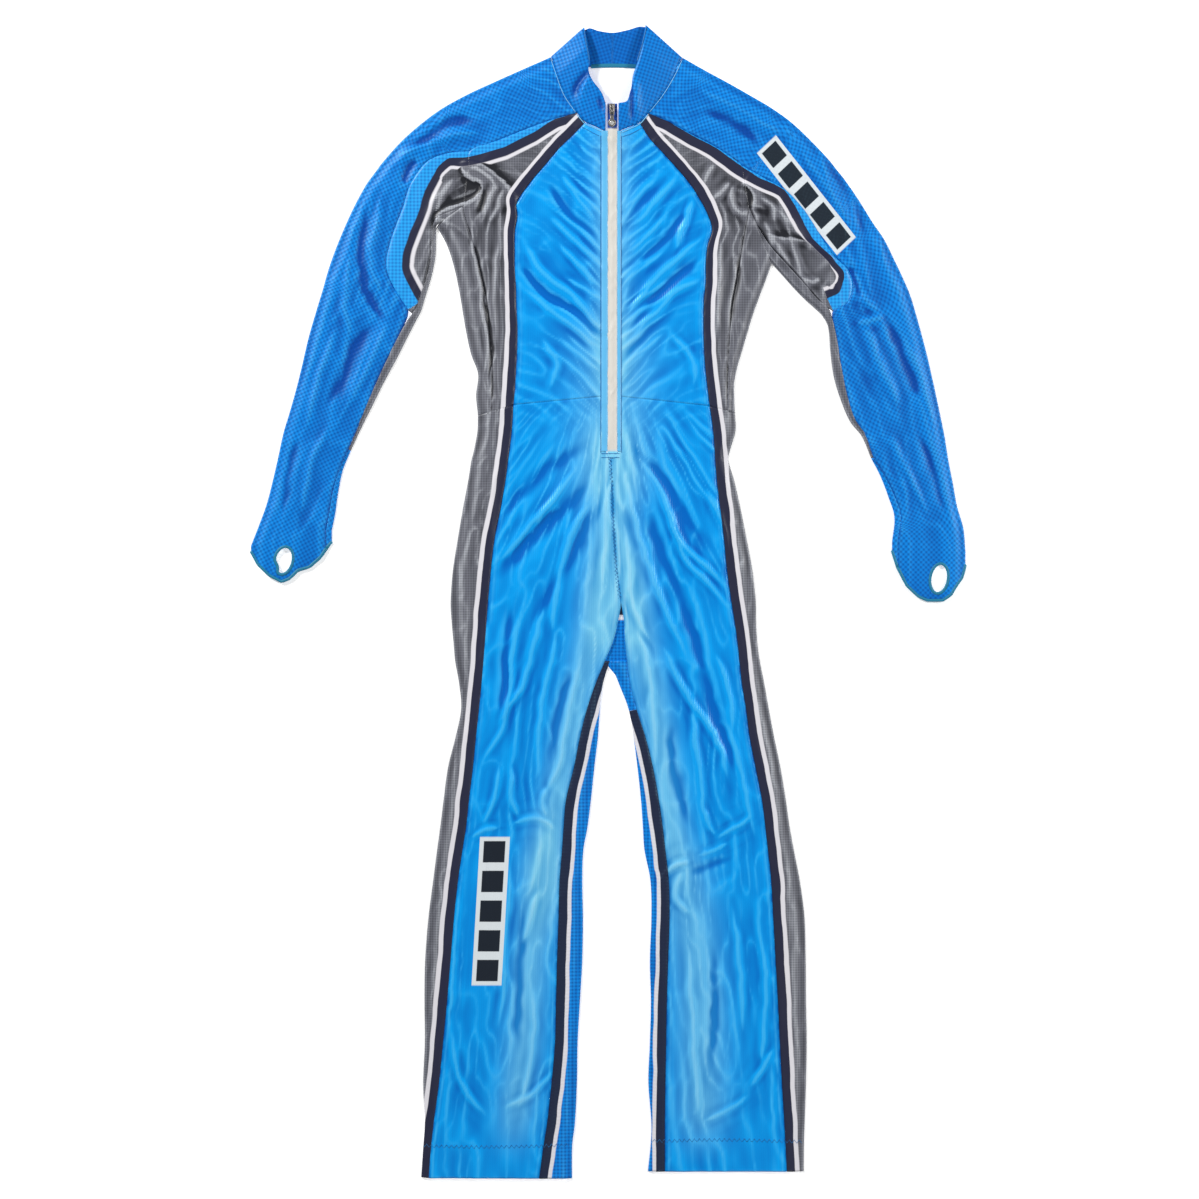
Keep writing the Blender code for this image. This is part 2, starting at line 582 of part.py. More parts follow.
# Sleeves
def underarm_front(name, rows):
    used = after_apex(trimmed(rows[3:INSERT_END + 1])[1:])
    grid = []
    for row in used:
        seam, under = (row.seamU, row.seamV), (row.underU, row.underV)
        grid.append(run(upper, toward(seam, under, HALF), toward(under, seam, HALF), 5))
    cloth(name, "grey_knit", grid)


def underarm_back(name, rows):
    wrap = []
    used = trimmed(rows[ARMPIT:STRIP_END + 1])
    past = blend(rows, INSERT_END, INSERT_END + 1, 4 * HALF)
    used.insert(INSERT_END - ARMPIT + 1, past._replace(underU=past.seamU, underV=past.seamV))
    for row in used:
        under, edge, back = (row.underU, row.underV), (row.innerU, row.innerV), (row.backU, row.backV)
        wrap.append(folded_row(toward(under, edge, HALF), edge, toward(back, edge, HALF), 1, 3))
    flat = []
    for row in after_apex(rows[4:ARMPIT]):
        join, back = (row.innerU, row.innerV), (row.backU, row.backV)
        flat.append(run(lower, toward(join, back, HALF), toward(back, join, HALF), 3))
    flat.append(wrap[0][-4:])
    cloth(name, "grey_knit", wrap, flat)


def main_rows(rows, top_count, under_count, closed, warps=None):
    # From the seam on the front round the outer edge to the seam on the back.
    grid = []
    for number, row in enumerate(rows):
        seam, outer, back = (row.seamU, row.seamV), (row.outerU, row.outerV), (row.backU, row.backV)
        end = back if closed else toward(back, outer, HALF)
        warp = warps[number] if warps else None
        grid.append(folded_row(toward(seam, outer, HALF), outer, end, top_count, under_count, warp))
    return grid


def closing_rows(rows, warps=None):
    # From the back round the inner edge to the underarm seam, where no other piece lies between.
    grid = []
    for number, row in enumerate(rows):
        under, edge, back = (row.underU, row.underV), (row.innerU, row.innerV), (row.backU, row.backV)
        warp = warps[number] if warps else None
        grid.append(folded_row(toward(under, edge, HALF), edge, back, 1, 1, warp))
    return grid


def sleeve(name, rows):
    upper_part = main_rows(trimmed(rows[:STRIP_END])[:-1] + rows[STRIP_END - 1:STRIP_END], 6, 4, False)
    joined = [blend(rows, STRIP_END, STRIP_END + 1, HALF)] + list(rows[STRIP_END + 1:WRIST])
    joined.append(blend(rows, WRIST, WRIST - 1, HALF))
    cloth(name, "check_knit", upper_part + main_rows(joined, 6, 4, True), closing_rows(joined))


def end_drop(table, share):
    share = min(max(share, 0.0), 1.0)
    for one, two in zip(table, table[1:]):
        if share <= two.share:
            return one.drop + (two.drop - one.drop) * (share - one.share) / (two.share - one.share)
    return table[-1].drop


def cuff_warp(row, table, amount, back_off):
    def warp(u, v):
        share = (u - row.outerU) / (row.innerU - row.outerU)
        return u, v + max(0.0, end_drop(table, share) * amount - back_off)
    return warp


def cuff(name, rows, table, hole):
    start = blend(rows, WRIST, WRIST + 1, HALF)
    end = rows[-1]
    used = [start, rows[-2], end, end, end]
    amounts = [(0, 0), (0, 0), (0, 0), (0.5, 0), (1, BOUND_EDGE)]
    warps = [cuff_warp(row, table, *amount) for row, amount in zip(used, amounts)]
    main = main_rows(used, 12, 6, True, warps)
    body = cloth(name, "check_knit", main, closing_rows(used, warps))
    last = [end, end]
    edges = [(1, BOUND_EDGE - BOUND_GAP), (1, 0)]
    warps = [cuff_warp(end, table, *amount) for amount in edges]
    main = main_rows(last, 12, 6, True, warps)
    cloth(name + "_edge", "teal_binding", main, closing_rows(last, warps))
    tall = prism(name + "_hole", hole_outline(hole, 0), -0.01, 0.03)
    combine(body, cutter(name + "_hole", tall), "DIFFERENCE")
    low, high = 0.0, top_height(hole.u, hole.v) + 0.0002
    ring_prism(name + "_thumb_edge", "teal_binding", hole_outline(hole, SEAM_GAP),
               hole_outline(hole, SEAM_GAP + BINDING), low, high)


def hole_outline(hole, inside):
    middle = place(hole.u, hole.v)
    points = []
    for k in range(20):
        angle = 2 * math.pi * k / 20
        across = (hole.halfWidth * PLAN_STEP - inside) * math.cos(angle)
        along = (hole.halfHeight * PLAN_STEP - inside) * math.sin(angle)
        points.append((middle[0] + across + along * hole.lean, middle[1] + along))
    return points


def prism(name, outline, low, high):
    bm = bmesh.new()
    bottom = [bm.verts.new((x, y, low)) for x, y in outline]
    top = [bm.verts.new((x, y, high)) for x, y in outline]
    bm.faces.new(bottom)
    bm.faces.new(top)
    for k in range(len(outline)):
        after = (k + 1) % len(outline)
        bm.faces.new([bottom[k], bottom[after], top[after], top[k]])
    return finish_mesh(name, bm)


# Legs
def front_leg(name, rows):
    grid = []
    for row in leg_trimmed(rows):
        out, inn = (row.outU, row.outV), (row.inU, row.inV)
        grid.append(run(upper, toward(out, inn, HALF), toward(inn, out, HALF), 7))
    cloth(name, "azure_knit", grid)


def side_leg(name, rows):
    grid = []
    for row in leg_trimmed(rows):
        out, edge = (row.outU, row.outV), (row.edgeU, row.edgeV)
        grid.append(folded_row(toward(out, edge, HALF), edge, toward(out, edge, HALF), 2, 2))
    cloth(name, "grey_knit", grid)


def leg_trimmed(rows):
    # The waist end is trimmed along the leg, and the hem keeps its place.
    first, near = rows[0], rows[1]
    return [type(first)(*mix(first, near, HALF / (near.outV - first.outV)))] + list(rows[1:])


def back_leg(name, rows, crotch_start):
    waist = rows[0]._replace(inV=waist_middle())
    legs = leg_trimmed([waist] + list(rows[1:]))
    flat, wrap = [], []
    for number, row in enumerate(legs):
        out = (row.outU, row.outV)
        middle = (row.gapU, row.inV)
        if number < GAP_TOP:
            middle = (BACK_MIDDLE, row.inV)
            flat.append(run(lower, toward(out, middle, HALF), toward(middle, out, HALF), 4))
            continue
        inn = (row.inU, row.inV)
        inset = toward(middle, inn, REACH)
        flat.append(run(lower, toward(out, middle, HALF), inset, 4))
        wrap.append(run(lower, inset, inset, 1)[:1] + rounded_edge(middle, inset)[::-1]
                    + run(upper, inset, toward(inn, middle, HALF), 1))
    grids = [flat, wrap]
    if crotch_start < GAP_TOP:
        gusset = []
        for row in rows[crotch_start + 1:GAP_TOP]:
            inn, middle = (row.inU, row.inV), (row.gapU, row.inV)
            gusset.append(run(upper, toward(middle, inn, HALF), toward(inn, middle, HALF), 1))
        gusset.append(wrap[0][-2:])
        grids.append(gusset)
    cloth(name, "check_knit", *grids)


def waist_middle():
    # The back waist seam is straight from one side to the other.
    one, two = BODY_R[-1], BODY_L[-1]
    share = (BACK_MIDDLE - one.frontU) / (two.frontU - one.frontU)
    return one.frontV + (two.frontV - one.frontV) * share


# Collar
def collar_pair(row, base_height, top_height_here, front, count=3):
    base, top = (row.baseU, row.baseV), (row.topU, row.topV)
    base = toward(base, top, HALF)
    points = []
    for k in range(count + 1):
        share = k / count
        x, y = place(*mix(base, top, share))
        z = base_height + (top_height_here - base_height) * math.sin(share * math.pi / 2)
        points.append((x, y, z if front else 0.0))
    return points


def collar():
    rows = []

    def front(row, rise):
        line = collar_pair(row, top_height(row.baseU, row.baseV), rise, True)
        rows.append([(Vector(p), Vector((p[0], p[1], p[2] - CLOTH))) for p in line])

    def back(row):
        line = collar_pair(row, 0, 0, False)
        rows.append([(Vector(p), Vector((p[0], p[1], CLOTH))) for p in line])

    def side(row, near, backwards):
        inset = CollarRow(*toward((row.baseU, row.baseV), (near.baseU, near.baseV), REACH),
                          *toward((row.topU, row.topV), (near.topU, near.topV), REACH))
        line = collar_pair(inset, top_height(row.baseU, row.baseV), COLLAR_FOLD, True)
        edge = collar_pair(row, 0, 0, False)
        turn = []
        for k in range(EDGE_STEPS + 1):
            angle = math.pi * k / EDGE_STEPS
            points = []
            for (ix, iy, iz), (ex, ey, _) in zip(line, edge):
                pair = []
                for wall in (0, CLOTH):
                    out = math.sin(angle) * (1 - wall / EDGE_REACH)
                    pair.append(Vector((ix + (ex - ix) * out, iy + (ey - iy) * out,
                                        iz / 2 + (iz / 2 - wall) * math.cos(angle))))
                points.append(tuple(pair))
            turn.append(points)
        rows.extend(reversed(turn) if backwards else turn)

    for row in COLLAR_FRONT_R:
        front(row, COLLAR_TOP)
    side(COLLAR_SIDE_R, COLLAR_FRONT_R[-1], False)
    for row in COLLAR_BACK:
        back(row)
    side(COLLAR_SIDE_L, COLLAR_FRONT_L[0], True)
    for row in COLLAR_FRONT_L:
        front(row, COLLAR_TOP)
    cloth("collar", "check_knit", rows)


# Zip
def zip_strip():
    left, right = ZIP_LEFT + HALF, ZIP_RIGHT - HALF
    levels = 32
    grid = []
    for k in range(levels + 1):
        v = ZIP_TOP + (ZIP_END - ZIP_TOP) * k / levels
        grid.append(run(upper, (left, v), (right, v), 2))
    cloth("zip_strip", "zip_coil", grid)


def cylinder(name, radius, length, middle, count=24):
    bm = bmesh.new()
    rings = []
    for x in (-length / 2, length / 2):
        ring = []
        for k in range(count):
            angle = 2 * math.pi * k / count
            ring.append(bm.verts.new((middle[0] + x, middle[1] + radius * math.cos(angle),
                                      middle[2] + radius * math.sin(angle))))
        rings.append(ring)
    for k in range(count):
        after = (k + 1) % count
        bm.faces.new([rings[0][k], rings[0][after], rings[1][after], rings[1][k]])
    bm.faces.new(rings[0])
    bm.faces.new(rings[1])
    return finish_mesh(name, bm)


def zip_slider():
    x, y = place((ZIP_LEFT + ZIP_RIGHT) / 2, SLIDER_V)
    width, length, tall = SLIDER_SIZE
    highest = max(top_height((ZIP_LEFT + ZIP_RIGHT) / 2, SLIDER_V + k) for k in range(-6, 7))
    foot = highest + SEAM_GAP
    bm = bmesh.new()
    bmesh.ops.create_cube(bm, size=1)
    for vert in bm.verts:
        narrow = 0.8 if vert.co.y < 0 else 1.0
        vert.co = Vector((vert.co.x * width * narrow, vert.co.y * length, vert.co.z * tall))
        vert.co += Vector((x, y, foot + tall / 2))
    edges = [e for e in bm.edges]
    bmesh.ops.bevel(bm, geom=edges, offset=0.0007, segments=2, affect="EDGES", profile=0.6)
    body = shaded("zip_slider", finish_mesh("zip_slider", bm), "grey_metal")
    for face in body.data.polygons:
        face.use_smooth = False
    pin_y = place(0, PIN_V)[1]
    pin = (x, pin_y, foot + tall + PIN_RISE)
    knuckle = cylinder("knuckle", KNUCKLE_RADIUS, KNUCKLE_WIDTH, pin)
    bore = cylinder("knuckle_bore", KNUCKLE_BORE, KNUCKLE_WIDTH * 2, pin, 16)
    combine(body, cutter("knuckle", knuckle), "UNION")
    combine(body, cutter("knuckle_bore", bore), "DIFFERENCE")
    return pin


def pull_tab(pin):
    # Flat plate with a round end, and an eye that goes round the knuckle with its bar in the bore.
    bar = TAB_THICK / 2
    shoulder = EYE_HALF_WIDTH + EYE_WALL
    end = -TAB_REACH
    start = math.acos(TAB_NECK / TAB_ROUND)
    side = [(shoulder, bar), (shoulder, -EYE_LENGTH), (TAB_NECK, -2 * EYE_LENGTH)]
    arc = 16
    turned = [start - (2 * start + math.pi) * k / arc for k in range(arc + 1)]
    outline = side + [(TAB_ROUND * math.cos(a), end + TAB_ROUND * math.sin(a)) for a in turned]
    outline += [(-x, y) for x, y in reversed(side)]
    eye = [(EYE_HALF_WIDTH, -bar), (EYE_HALF_WIDTH, -EYE_LENGTH),
           (-EYE_HALF_WIDTH, -EYE_LENGTH), (-EYE_HALF_WIDTH, -bar)]
    mesh = prism("pull_tab", outline, -TAB_THICK / 2, TAB_THICK / 2)
    tab = shaded("pull_tab", mesh, "grey_metal")
    hole = cutter("tab_eye", prism("tab_eye", eye, -TAB_THICK, TAB_THICK))
    for face in tab.data.polygons:
        face.use_smooth = False
    for obj in (tab, hole):
        obj.location = pin
        obj.rotation_euler = (TAB_SWING_START, 0, 0)
    combine(tab, hole, "DIFFERENCE")


def build():
    for obj in list(bpy.data.objects):
        bpy.data.objects.remove(obj, do_unlink=True)
    for mark, body, back, arm, leg, table, hole, zip_u in (
            ("r", BODY_R, BACK_R, SLEEVE_R, LEG_R, CUFF_R, THUMB_R, ZIP_LEFT),
            ("l", BODY_L, BACK_L, SLEEVE_L, LEG_L, CUFF_L, THUMB_L, ZIP_RIGHT)):
        front_body("front_body_" + mark, body, zip_u)
        side_front("side_front_" + mark, body)
        side_back("side_back_" + mark, body, back)
        underarm_front("underarm_front_" + mark, arm)
        underarm_back("underarm_back_" + mark, arm)
        sleeve("sleeve_" + mark, arm)
        cuff("cuff_" + mark, arm, table, hole)
        front_leg("front_leg_" + mark, leg)
        side_leg("side_leg_" + mark, leg)
        back_leg("back_leg_" + mark, leg, GAP_TOP if mark == "r" else CROTCH)
    back_body()
    collar()
    zip_strip()
    pull_tab(zip_slider())


build()
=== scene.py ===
# Ski race suit laid flat with its front up: cloth, prints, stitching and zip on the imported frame.
import math

import bpy
import numpy as np
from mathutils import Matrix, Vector


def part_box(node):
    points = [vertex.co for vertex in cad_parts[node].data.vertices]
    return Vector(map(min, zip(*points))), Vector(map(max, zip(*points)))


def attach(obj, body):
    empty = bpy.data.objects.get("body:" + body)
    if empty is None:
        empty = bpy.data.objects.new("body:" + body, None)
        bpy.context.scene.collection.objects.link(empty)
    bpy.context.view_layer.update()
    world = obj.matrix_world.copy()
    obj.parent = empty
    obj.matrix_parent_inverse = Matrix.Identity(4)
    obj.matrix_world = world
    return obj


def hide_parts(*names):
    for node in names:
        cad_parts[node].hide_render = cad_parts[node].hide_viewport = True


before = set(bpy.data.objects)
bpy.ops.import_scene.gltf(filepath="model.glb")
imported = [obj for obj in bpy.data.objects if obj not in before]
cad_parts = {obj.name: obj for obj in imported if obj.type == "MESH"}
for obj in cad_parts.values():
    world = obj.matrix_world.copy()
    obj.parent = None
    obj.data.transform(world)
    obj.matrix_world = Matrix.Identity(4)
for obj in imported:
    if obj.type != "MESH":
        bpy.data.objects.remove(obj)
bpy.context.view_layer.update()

print("frame loaded")

# Plan units: u runs right and v runs down over the suit as it lies, seen from above.
plan = {
    "step": 0.00125,     # metres of cloth for one plan unit
    "midU": 608.25,      # plan unit on x = 0
    "midV": 601.5,       # plan unit on y = 0
    "rest": 4.9,         # mm, top of the upper cloth between its folds
    "least": 2.0,        # mm, the upper cloth never sinks lower than this
    "lap": 0.35,         # plan units that a panel reaches under its neighbour at a seam
    "reach": 2.24,       # plan units that a folded edge rounds in
    "grid": 2.0,         # plan units between mesh lines
    "cloth": 0.0008,     # metres, thickness of the knit
    "check": 0.0045,
    "twill": 0.0032,     # metres between the dots of the grey knit
}

# Body sections from neck to waist: front seam, outer seam of the side panel, edge, zip line's v.
bodyR = [
    (585.2, 122.5, 577.5, 112.5, 436, 225, 132.5),
    (572.5, 135.5, 556, 118, 436, 225, 150),
    (560, 147.4, 530, 127, 436, 225, 168),
    (545, 165, 500, 139, 436, 225, 187),
    (530, 183, 470, 150.5, 436, 225, 206),
    (517, 203, 468, 168, 436, 225, 224),
    (517.5, 216, 465, 187, 436, 225, 237),
    (515, 232, 463, 206, 436, 225, 251),
    (514.8, 250, 469, 229, 446.5, 244, 266),
    (514.8, 268, 476, 252, 453.5, 265, 282),
    (516, 287, 482, 277, 459, 290, 298),
    (516.5, 308, 486.5, 303, 463, 314, 315),
    (517.5, 330, 489.5, 330, 466.5, 334, 333),
    (517, 352, 491.3, 353, 471, 354, 351),
    (516, 372, 492, 374, 478, 374, 368),
    (515, 389, 492, 394, 476, 395, 382),
    (513.5, 404.8, 490.5, 413.5, 477.8, 415, 396),
]

bodyL = [
    (639.6, 122.9, 648, 112.5, 772, 263, 132.5),
    (650.3, 139, 668, 121, 772, 263, 150),
    (660.5, 150, 690, 133, 772, 263, 168),
    (675, 166, 716, 146.5, 772, 263, 187),
    (690, 183.7, 742, 165, 772, 263, 206),
    (701, 201, 745, 180, 772, 263, 224),
    (708, 215, 747, 193, 772, 263, 238),
    (712, 229, 749, 207, 772, 263, 252),
    (707.5, 246, 744.5, 232, 765.5, 281, 268),
    (705.8, 264, 740.5, 258, 759, 298, 284),
    (705.8, 281, 736.8, 282, 753, 315, 299),
    (704, 299, 733, 303, 747.5, 333, 315),
    (703.5, 319, 730.7, 325, 742.5, 350, 332),
    (703.8, 340, 729, 346, 737.5, 367, 349),
    (704.8, 361, 728.3, 367, 734.5, 383, 366),
    (707, 383, 727.8, 389, 734.5, 398, 381),
    (709.8, 406, 727.5, 411, 735, 412, 396),
]

# Back seams above the armpit: back seam, sleeve seam.
backR = [
    (585, 66.5, 577, 65.5),
    (572, 92, 553, 88),
    (559, 116, 528, 109),
    (545, 142, 500, 130),
    (531, 166, 470, 150.5),
    (518, 190, 459, 175),
    (516, 211, 447.5, 200),
]

backL = [
    (640, 66.5, 648, 65.5),
    (652, 92, 669, 90),
    (665, 116, 692, 112),
    (679, 142, 717, 137),
    (692, 166, 742, 165),
    (704, 190, 751, 195),
    (710, 211, 761, 229),
]

# Sleeve sections from neck to cuff: outer edge, sleeve seam, underarm seam, inner edge, back seam.
sleeveR = [
    (550.5, 56.5, 577.5, 112.5, 0, 0, 0, 0, 577, 65.5),
    (522, 69, 556, 118, 0, 0, 0, 0, 553, 88),
    (494, 81.5, 530, 127, 0, 0, 0, 0, 528, 109),
    (467, 94, 500, 139, 0, 0, 0, 0, 500, 130),
    (441, 108.5, 470, 150.5, 470, 150.5, 470, 150.5, 470, 150.5),
    (420, 124, 447, 153, 468, 168, 459, 175, 447, 153),
    (401, 141, 427, 161, 465, 187, 447.5, 200, 427, 161),
    (383, 161, 412, 180, 463, 206, 436, 225, 412, 180),
    (374, 173, 407, 192, 435.3, 219, 436, 231, 407, 192),
    (366, 184, 403.5, 204, 431, 240, 436, 241, 403.5, 204),
    (354, 206, 396, 224, 430.5, 256, 435.2, 257, 396, 224),
    (344.5, 226.5, 389.5, 243, 428, 270, 432.5, 271.5, 389.5, 243),
    (336, 247, 386, 261, 424.5, 283, 429, 284.5, 386, 261),
    (328.5, 268, 388, 275, 420, 295.5, 424.8, 298, 388, 275),
    (322.5, 289, 397, 293, 416, 307.5, 421, 310.5, 397, 293),
    (315.5, 312, 408, 310, 412, 313.5, 416, 320, 403, 313),
    (308, 338, 401.5, 330, 401.5, 330, 407.8, 336, 392, 329),
    (301.5, 366, 390, 353, 390, 353, 396.5, 358.5, 381, 350),
    (295.5, 390, 378.4, 377.8, 378.4, 377.8, 383.8, 382, 369, 374),
    (289, 413, 367.9, 402.2, 367.9, 402.2, 372.5, 405, 357, 398),
    (283, 433, 358.2, 425.4, 358.2, 425.4, 361.5, 427, 346, 422),
    (278, 456, 347.9, 449.1, 347.9, 449.1, 350.5, 450.5, 337, 446),
    (272.5, 480, 338.9, 469.5, 338.9, 469.5, 342.5, 470.5, 330, 468),
    (266, 505, 332.6, 491.1, 332.6, 491.1, 338, 492, 326, 491),
    (257.5, 528, 329, 512, 329, 512, 335, 513, 322, 513),
    (250.5, 546, 326, 529, 326, 529, 331.5, 530.5, 319, 531),
]

sleeveL = [
    (683, 57, 648, 112.5, 0, 0, 0, 0, 648, 65.5),
    (704, 69, 668, 121, 0, 0, 0, 0, 669, 90),
    (728, 82, 690, 133, 0, 0, 0, 0, 692, 112),
    (750, 94.5, 716, 146.5, 0, 0, 0, 0, 717, 137),
    (772, 107.5, 742, 165, 742, 165, 742, 165, 742, 165),
    (792, 122, 763, 177, 745, 180, 751, 195, 763, 177),
    (811, 140, 785, 189, 747, 193, 761, 229, 785, 189),
    (829, 159, 803, 208, 749, 207, 772, 263, 803, 208),
    (837, 169, 812, 221, 754, 218, 775.3, 267, 812, 221),
    (845, 179, 820, 234, 759, 228, 779, 271, 820, 234),
    (860, 201, 835, 256, 770, 245, 787, 280, 835, 256),
    (873, 222, 848, 269, 783, 259.5, 797, 291, 848, 269),
    (884.5, 239, 853, 281, 795, 272.5, 806, 300, 853, 281),
    (894, 258, 851.5, 295, 807, 286, 815, 308, 851.5, 295),
    (903, 277, 845, 305, 817.5, 298, 823, 316, 845, 305),
    (911, 296, 833, 311, 829, 308.5, 828.5, 327, 843, 319),
    (919, 323, 837, 338, 837, 338, 830.5, 350, 842, 335),
    (926.5, 351, 841.5, 367, 841.5, 367, 834, 376, 848, 364),
    (933, 379, 847.4, 395.7, 847.4, 395.7, 841, 399.5, 856, 393),
    (939.5, 409, 855, 419.1, 855, 419.1, 850.5, 421.5, 865, 417),
    (945, 436, 865.9, 435.4, 865.9, 435.4, 862, 436, 877, 435),
    (949, 461, 874.1, 457.6, 874.1, 457.6, 871.5, 458, 886, 457),
    (953.5, 484, 884.8, 475.4, 884.8, 475.4, 880.8, 476, 895, 476),
    (957.5, 506, 894.4, 495.1, 894.4, 495.1, 888.5, 496, 902, 496),
    (964, 529, 901, 516, 901, 516, 894.8, 517, 907, 517),
    (966, 552, 898, 541, 898, 541, 892.5, 542, 905, 542),
]

# Leg sections from waist to hem: number, outer edge, outer seam, inner seam, inner edge.
legR = [
    (0, 477.8, 415, 513.5, 404.8, 606.3, 396, 606.3),
    (1, 477.3, 431, 512, 429, 606.3, 428, 606.3),
    (2, 473.5, 452, 509.5, 451, 606.3, 451.5, 606.3),
    (3, 471.5, 459, 508.5, 458.5, 611, 458.5, 611),
    (4, 468, 481, 505.5, 481, 611.7, 481, 611.7),
    (5, 462.5, 510, 500.5, 510, 613, 510, 613),
    (6, 457.5, 540, 494.5, 540, 614.5, 540, 614.5),
    (7, 452.8, 570, 491, 570, 616.8, 570, 616.8),
    (8, 450.5, 602, 488, 602, 621, 602, 621),
    (9, 451.5, 622, 486.5, 622, 618, 622, 618),
    (10, 453.3, 642, 485, 642, 613, 642, 614.5),
    (11, 455, 661, 483.5, 661, 605, 661, 610),
    (12, 459, 684, 481.5, 684, 595.5, 684, 603),
    (13, 461, 709, 479, 709, 587, 709, 600),
    (14, 455.5, 737, 476, 737, 580, 737, 598),
    (15, 448, 767, 473, 767, 574, 767, 594.5),
    (16, 443.5, 800, 469, 800, 566, 800, 591),
    (17, 440, 828, 466, 828, 563.5, 828, 587.5),
    (18, 437, 850, 462.5, 850, 562, 850, 583.5),
    (19, 433, 881, 458, 881, 559.5, 881, 582.3),
    (20, 428.3, 918, 454, 918, 558.5, 918, 583),
    (21, 425, 961, 450.5, 961, 557, 961, 582.3),
    (22, 424.3, 1002, 447, 1002, 556, 1002, 580),
    (23, 424.7, 1043, 443, 1043, 555, 1043, 577.7),
    (24, 423, 1083, 439, 1083, 551.5, 1083, 577),
    (25, 424.5, 1124, 433.5, 1124, 547, 1124, 575),
    (26, 423, 1147, 431, 1147, 543.5, 1146, 572.3),
    (27, 421, 1178, 428.5, 1178.5, 539, 1179, 572),
]

legL = [
    (0, 735, 412, 709.8, 406, 617.7, 396, 617.7),
    (1, 735.8, 430, 713, 429, 617.7, 428, 617.7),
    (2, 730, 451, 714.8, 451, 617.7, 451.5, 617.7),
    (3, 728.3, 459, 715.2, 458.5, 611, 458.5, 611),
    (4, 734.5, 481, 717, 481, 611.7, 481, 611.7),
    (5, 741, 510, 720.5, 510, 613, 510, 613),
    (6, 747, 540, 724, 540, 614.5, 540, 614.5),
    (7, 752.5, 570, 727, 570, 616.8, 570, 616.8),
    (8, 756, 602, 731.5, 602, 621, 602, 621),
    (9, 756.3, 622, 734.7, 622, 624, 622, 618),
    (10, 757.5, 642, 737.5, 642, 625, 642, 614.5),
    (11, 760, 661, 739.5, 661, 627, 661, 610),
    (12, 764.5, 684, 742, 684, 630, 684, 619),
    (13, 769, 709, 746, 709, 636.5, 709, 628.5),
    (14, 774.3, 737, 749.7, 737, 645.5, 737, 633.5),
    (15, 780.5, 767, 755.5, 767, 653, 767, 637.5),
    (16, 786, 800, 762, 800, 659, 800, 641),
    (17, 790, 828, 765.5, 828, 663, 828, 643),
    (18, 794, 850, 768, 850, 665.5, 850, 644.5),
    (19, 800, 881, 771.3, 881, 669, 881, 650.5),
    (20, 804.8, 918, 773.3, 918, 669.7, 918, 651.5),
    (21, 806, 961, 775.7, 961, 668.3, 961, 650),
    (22, 806.3, 1002, 778, 1002, 667, 1002, 651),
    (23, 807, 1043, 780, 1043, 666.3, 1043, 650),
    (24, 806.3, 1083, 782, 1083, 665.6, 1083, 648.5),
    (25, 805, 1124, 784.5, 1124, 665, 1124, 651.5),
    (26, 804.3, 1143, 785.5, 1143, 665, 1143, 651),
    (27, 804, 1172, 787, 1172, 665, 1172, 648),
]

# Collar sections from the zip round the neck: seam at the neck, upper edge.
collarFrontR = [
    (605.5, 132.1, 605.5, 103.5),
    (595, 127.1, 601.5, 93),
    (585.2, 122.5, 592.5, 81),
    (577.5, 112.5, 588.5, 71),
    (568.5, 93.8, 590, 61.5),
    (559.5, 75.2, 588, 47),
]

collarBack = [
    (577, 65.5, 590, 27.5),
    (585, 66.5, 598, 30),
    (612.5, 66.5, 613, 32),
    (640, 66.5, 629, 29),
    (648, 65.5, 639, 26),
]

collarFrontL = [
    (671.3, 75.5, 642, 44),
    (659.7, 94, 638, 61),
    (648, 112.5, 633, 76),
    (639.6, 122.9, 631, 90),
    (629, 127.6, 627, 101.5),
    (618.5, 132.1, 618.5, 104),
]

# Cuff ends: share of the way from the outer edge, and how far the end hangs past the last section.
cuffEndR = [
    (0, 5), (0.09, 20), (0.23, 33.5), (0.38, 42.5), (0.48, 41),
    (0.58, 34.5), (0.72, 34), (0.86, 26.5), (1, 11),
]

cuffEndL = [
    (0, 12), (0.04, 25), (0.15, 38), (0.2, 45), (0.31, 52),
    (0.52, 54.5), (0.64, 52), (0.8, 43), (0.93, 25), (1, 8),
]

armpit, stripEnd, wrist = 7, 21, 23          # section numbers on the sleeve
backMiddle, crotch, gapTop = 610.0, 8, 11    # centre back seam, and section numbers on the leg

